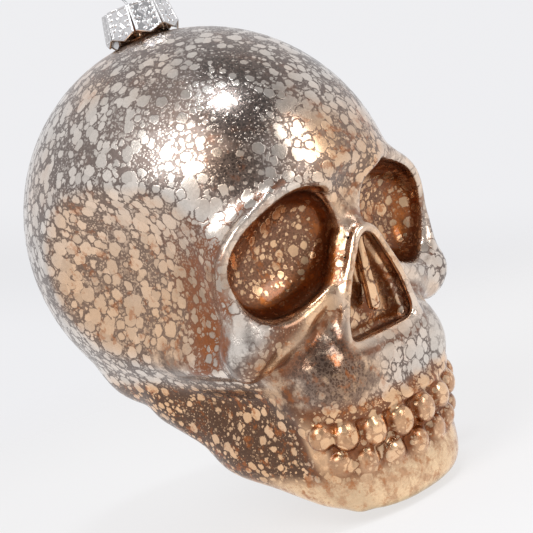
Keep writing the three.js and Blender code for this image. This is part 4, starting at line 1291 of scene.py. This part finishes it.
class StageSettings(bpy.types.PropertyGroup):
    floor: colour_property("Floor", "Colour of the floor", (0.86, 0.86, 0.87))
    floor_glow: colour_property("Floor glow", "Light that the floor gives back to the lens", (0.945, 0.935, 0.935))
    backdrop: colour_property("Backdrop", "Colour of the backdrop", (0.86, 0.86, 0.88))
    key_power: number_property("Key light", "Power of the key light", 1.9)
    window_power: number_property("Window light", "Power of the small light", 1.1)
    fill_power: number_property("Fill light", "Power of the fill light", 0.8)
    world: number_property("World", "Strength of the surroundings", 0.6)
    dark_end: number_property("Dark end", "Strength of the unlit end", 0.42)


class OrnamentSettings(bpy.types.PropertyGroup):
    skull: bpy.props.PointerProperty(type=SkullSettings)
    cap: bpy.props.PointerProperty(type=CapSettings)
    hanger: bpy.props.PointerProperty(type=HangerSettings)
    stage: bpy.props.PointerProperty(type=StageSettings)


class ORNAMENT_OT_skull(bpy.types.Operator):
    """Build the silvered glass skull"""

    bl_idname = "ornament.glass_skull"
    bl_label = "Glass skull"

    def execute(self, context):
        looks = context.scene.ornament.skull
        points, quads, normals = skull_surface(looks.cell / MM, looks.teeth)
        masks = skull_masks(points, normals, looks.teeth)
        placed = (points - (0, 0, RIM_DROP)) * MM
        obj = mesh_object("glass_skull_finished", placed, quads)
        for name, values in masks.items():
            attribute = obj.data.attributes.new(name, "FLOAT", "POINT")
            attribute.data.foreach_set("value", values.astype(np.float32))
        obj.data.materials.append(glass_material(looks))
        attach(obj, "skull")
        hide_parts("glass_skull")
        return {"FINISHED"}


class ORNAMENT_OT_cap(bpy.types.Operator):
    """Build the pressed crown cap"""

    bl_idname = "ornament.crown_cap"
    bl_label = "Crown cap"

    def execute(self, context):
        looks = context.scene.ornament.cap
        metal = metal_material("Pressed cap metal", looks, CAP_SCUFF)
        low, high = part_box("crown_cap")
        drop = -high[2] / MM
        tip = (high[2] - low[2]) / MM - CAP_SHEET * math.sin(CAP_FLARE)
        beside, above, below, before = PETAL_ROOM
        wide = CAP_RADIUS * math.sin(math.pi / CAP_SIDES) + beside
        corners = (-wide, -above, -before), (wide, tip + below, before)
        points, quads = drawn(lambda p: petal_form(p, tip), *corners, CAP_CELL)
        seed = mesh_object("petal_seed", petal_places(points, drop) * MM, quads[:, ::-1])
        petals = grown("cap_petals", seed, petal_ring_tree(), Count=CAP_SIDES, Turn=CAP_TURN, Material=metal)
        beside, below, above = LID_ROOM
        reach = CAP_RADIUS + beside
        points, quads = drawn(lid_form, (-reach, -reach, -below), (reach, reach, above), CAP_CELL)
        lid = mesh_object("cap_lid", (points - (0, 0, drop)) * MM, quads)
        lid.data.materials.append(metal)
        for piece in (petals, lid):
            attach(piece, "cap")
            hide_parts("crown_cap")
        return {"FINISHED"}


class ORNAMENT_OT_hanger(bpy.types.Operator):
    """Build the wire hanger"""

    bl_idname = "ornament.wire_hanger"
    bl_label = "Wire hanger"

    def execute(self, context):
        looks = context.scene.ornament.hanger
        metal = metal_material("Hanger wire metal", looks, WIRE_SCUFF)
        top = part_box("wire_hanger")[1][2] - looks.wire_radius
        line = wire_line() * MM
        line[:, 2] += top - line[:, 2].max()
        mesh = bpy.data.meshes.new("wire_seed")
        mesh.from_pydata(line.tolist(), [(i, i + 1) for i in range(len(line) - 1)], [])
        seed = in_scene("wire_seed", mesh)
        wire = grown("wire_loop", seed, wire_tree(), Radius=looks.wire_radius, Sides=WIRE_SIDES, Material=metal)
        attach(wire, "hanger")
        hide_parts("wire_hanger")
        return {"FINISHED"}


# The stage, in metres. The stage's lamps look at its centre.
CENTRE = (0, 0, -0.075)
KEY_PLACE, KEY_SIZE = (-0.48, -0.147, 0.378), (0.34, 0.3)
WINDOW_PLACE, WINDOW_SIZE, WINDOW_COLOUR = (-0.092, -0.275, 0.531), (0.13, 0.08), (0.86, 0.93, 1)
FILL_PLACE, FILL_SIZE = (0.12, -0.6, 0.22), (0.22, 0.3)
FLOOR_HALF = 0.6
FLOOR_CORNERS = ((-1, -1, 0), (1, -1, 0), (1, 1, 0), (-1, 1, 0))
FLOOR_FADE = (0.2, 0.55)
FLOOR_GLOW = 0.72
FLOOR_ROUGH = 0.8
DARK_END = (-0.12, -0.57, 0.81)
DARK_RAMP = (0.5, 0.97)
LIT_END = 0.95
SEAM_ACROSS = (0.278, -0.18, 0.944)
SEAM_HALF = 0.05
SEAM_SHADE = 0.05
CAMERA_PLACE = (-226.593 * MM, -256.966 * MM, -57.455 * MM)
CAMERA_TURN = (86.272, 18.999, -44.266)
CAMERA_FOCUS = 1417.2
CAMERA_SENSOR = 36
CAMERA_NEAR = 0.01


def soft_light(name, place, size, power, colour=(1, 1, 1)):
    """A rectangular lamp that looks at the stage's centre."""
    data = bpy.data.lights.new(name, "AREA")
    data.shape = "RECTANGLE"
    data.size, data.size_y = size
    data.energy = power
    data.color = colour
    lamp = in_scene(name, data)
    lamp.location = place
    lamp.rotation_euler = (Vector(CENTRE) - lamp.location).to_track_quat("-Z", "Y").to_euler()


def floor_material(looks):
    """A pale floor that holds the ornament's shadow and fades into the backdrop."""
    material, t, shader, where = new_material("Studio floor")
    shader.inputs["Base Color"].default_value = looks.floor
    shader.inputs["Roughness"].default_value = FLOOR_ROUGH
    away = t.vector("LENGTH", "Value", {0: where})
    glow = t.take(0, "ShaderNodeEmission", {"Color": looks.floor_glow})
    path = t.all_of(t.add("ShaderNodeLightPath"))
    seen = t.most(path["Is Camera Ray"], path["Is Glossy Ray"], path["Is Transmission Ray"])
    lit = t.take(0, "ShaderNodeMixShader", {0: seen * FLOOR_GLOW, 1: Value(t, shader.outputs[0]), 2: glow})
    under = t.take("Backfacing", "ShaderNodeNewGeometry")
    gone = t.most(t.ramp(away, *FLOOR_FADE), under)
    faded = t.take(0, "ShaderNodeMixShader", {0: gone, 1: lit, 2: t.take(0, "ShaderNodeBsdfTransparent")})
    t.put(faded, material.node_tree.nodes["Material Output"].inputs["Surface"])
    return material


def studio_world(looks):
    """Soft light from all round and a pale backdrop, with the unlit end of the studio high in front."""
    world = bpy.data.worlds.new("Studio")
    world.use_nodes = True
    t = Tree(world.node_tree)
    back = world.node_tree.nodes["Background"]
    back.inputs["Color"].default_value = looks.backdrop
    path = t.all_of(t.add("ShaderNodeLightPath"))
    direction = t.take("Generated", "ShaderNodeTexCoord")
    toward, across = (t.vector("DOT_PRODUCT", "Value", {0: direction, 1: way}) for way in (DARK_END, SEAM_ACROSS))
    glossy = path["Is Glossy Ray"] * t.blend(t.ramp(toward, *DARK_RAMP), LIT_END, looks.dark_end)
    seam = t.ramp(abs(across), SEAM_HALF, 0.0)
    seen = t.most(path["Is Camera Ray"], path["Is Transmission Ray"]) * (1.0 - seam * SEAM_SHADE)
    plain = (1.0 - path["Is Glossy Ray"]) * looks.world
    t.put(t.most(seen, plain + glossy), back.inputs["Strength"])
    return world


class ORNAMENT_OT_stage(bpy.types.Operator):
    """Set the floor, the soft lights and the camera"""

    bl_idname = "ornament.stage"
    bl_label = "Stage"

    def execute(self, context):
        scene = context.scene
        looks = scene.ornament.stage
        scene.view_settings.view_transform = "Standard"
        corners = np.array(FLOOR_CORNERS) * FLOOR_HALF + (0, 0, CAD_BOX[0][2])
        floor = mesh_object("floor", corners, [(0, 1, 2, 3)])
        floor.data.materials.append(floor_material(looks))
        scene.world = studio_world(looks)
        soft_light("Key light", KEY_PLACE, KEY_SIZE, looks.key_power)
        soft_light("Window light", WINDOW_PLACE, WINDOW_SIZE, looks.window_power, WINDOW_COLOUR)
        soft_light("Fill light", FILL_PLACE, FILL_SIZE, looks.fill_power)

        data = bpy.data.cameras.new("Camera")
        data.sensor_width = CAMERA_SENSOR
        data.sensor_fit = "HORIZONTAL"
        data.lens = CAMERA_SENSOR * CAMERA_FOCUS / IMAGE_SIDE
        data.clip_start = CAMERA_NEAR
        camera = in_scene("Camera", data)
        camera.location = CAMERA_PLACE
        camera.rotation_euler = [math.radians(a) for a in CAMERA_TURN]
        scene.camera = camera
        return {"FINISHED"}


class ORNAMENT_PT_panel(bpy.types.Panel):
    """Shows the settings of each piece under its button"""

    bl_idname = "ORNAMENT_PT_panel"
    bl_label = "Glass Skull Ornament"
    bl_space_type = "VIEW_3D"
    bl_region_type = "UI"
    bl_category = "Ornament"

    def draw(self, context):
        settings = context.scene.ornament
        for group, operator in (
            ("skull", ORNAMENT_OT_skull),
            ("cap", ORNAMENT_OT_cap),
            ("hanger", ORNAMENT_OT_hanger),
            ("stage", ORNAMENT_OT_stage),
        ):
            box = self.layout.box()
            box.operator(operator.bl_idname)
            looks = getattr(settings, group)
            for name in looks.__annotations__:
                box.prop(looks, name)


CLASSES = (
    SkullSettings,
    CapSettings,
    HangerSettings,
    StageSettings,
    OrnamentSettings,
    ORNAMENT_OT_skull,
    ORNAMENT_OT_cap,
    ORNAMENT_OT_hanger,
    ORNAMENT_OT_stage,
    ORNAMENT_PT_panel,
)


def register():
    for cls in CLASSES:
        bpy.utils.register_class(cls)
    bpy.types.Scene.ornament = bpy.props.PointerProperty(type=OrnamentSettings)


def unregister():
    del bpy.types.Scene.ornament
    for cls in reversed(CLASSES):
        bpy.utils.unregister_class(cls)


def main():
    register()
    bpy.ops.ornament.glass_skull()
    bpy.ops.ornament.crown_cap()
    bpy.ops.ornament.wire_hanger()
    bpy.ops.ornament.stage()


if __name__ == "__main__":
    main()
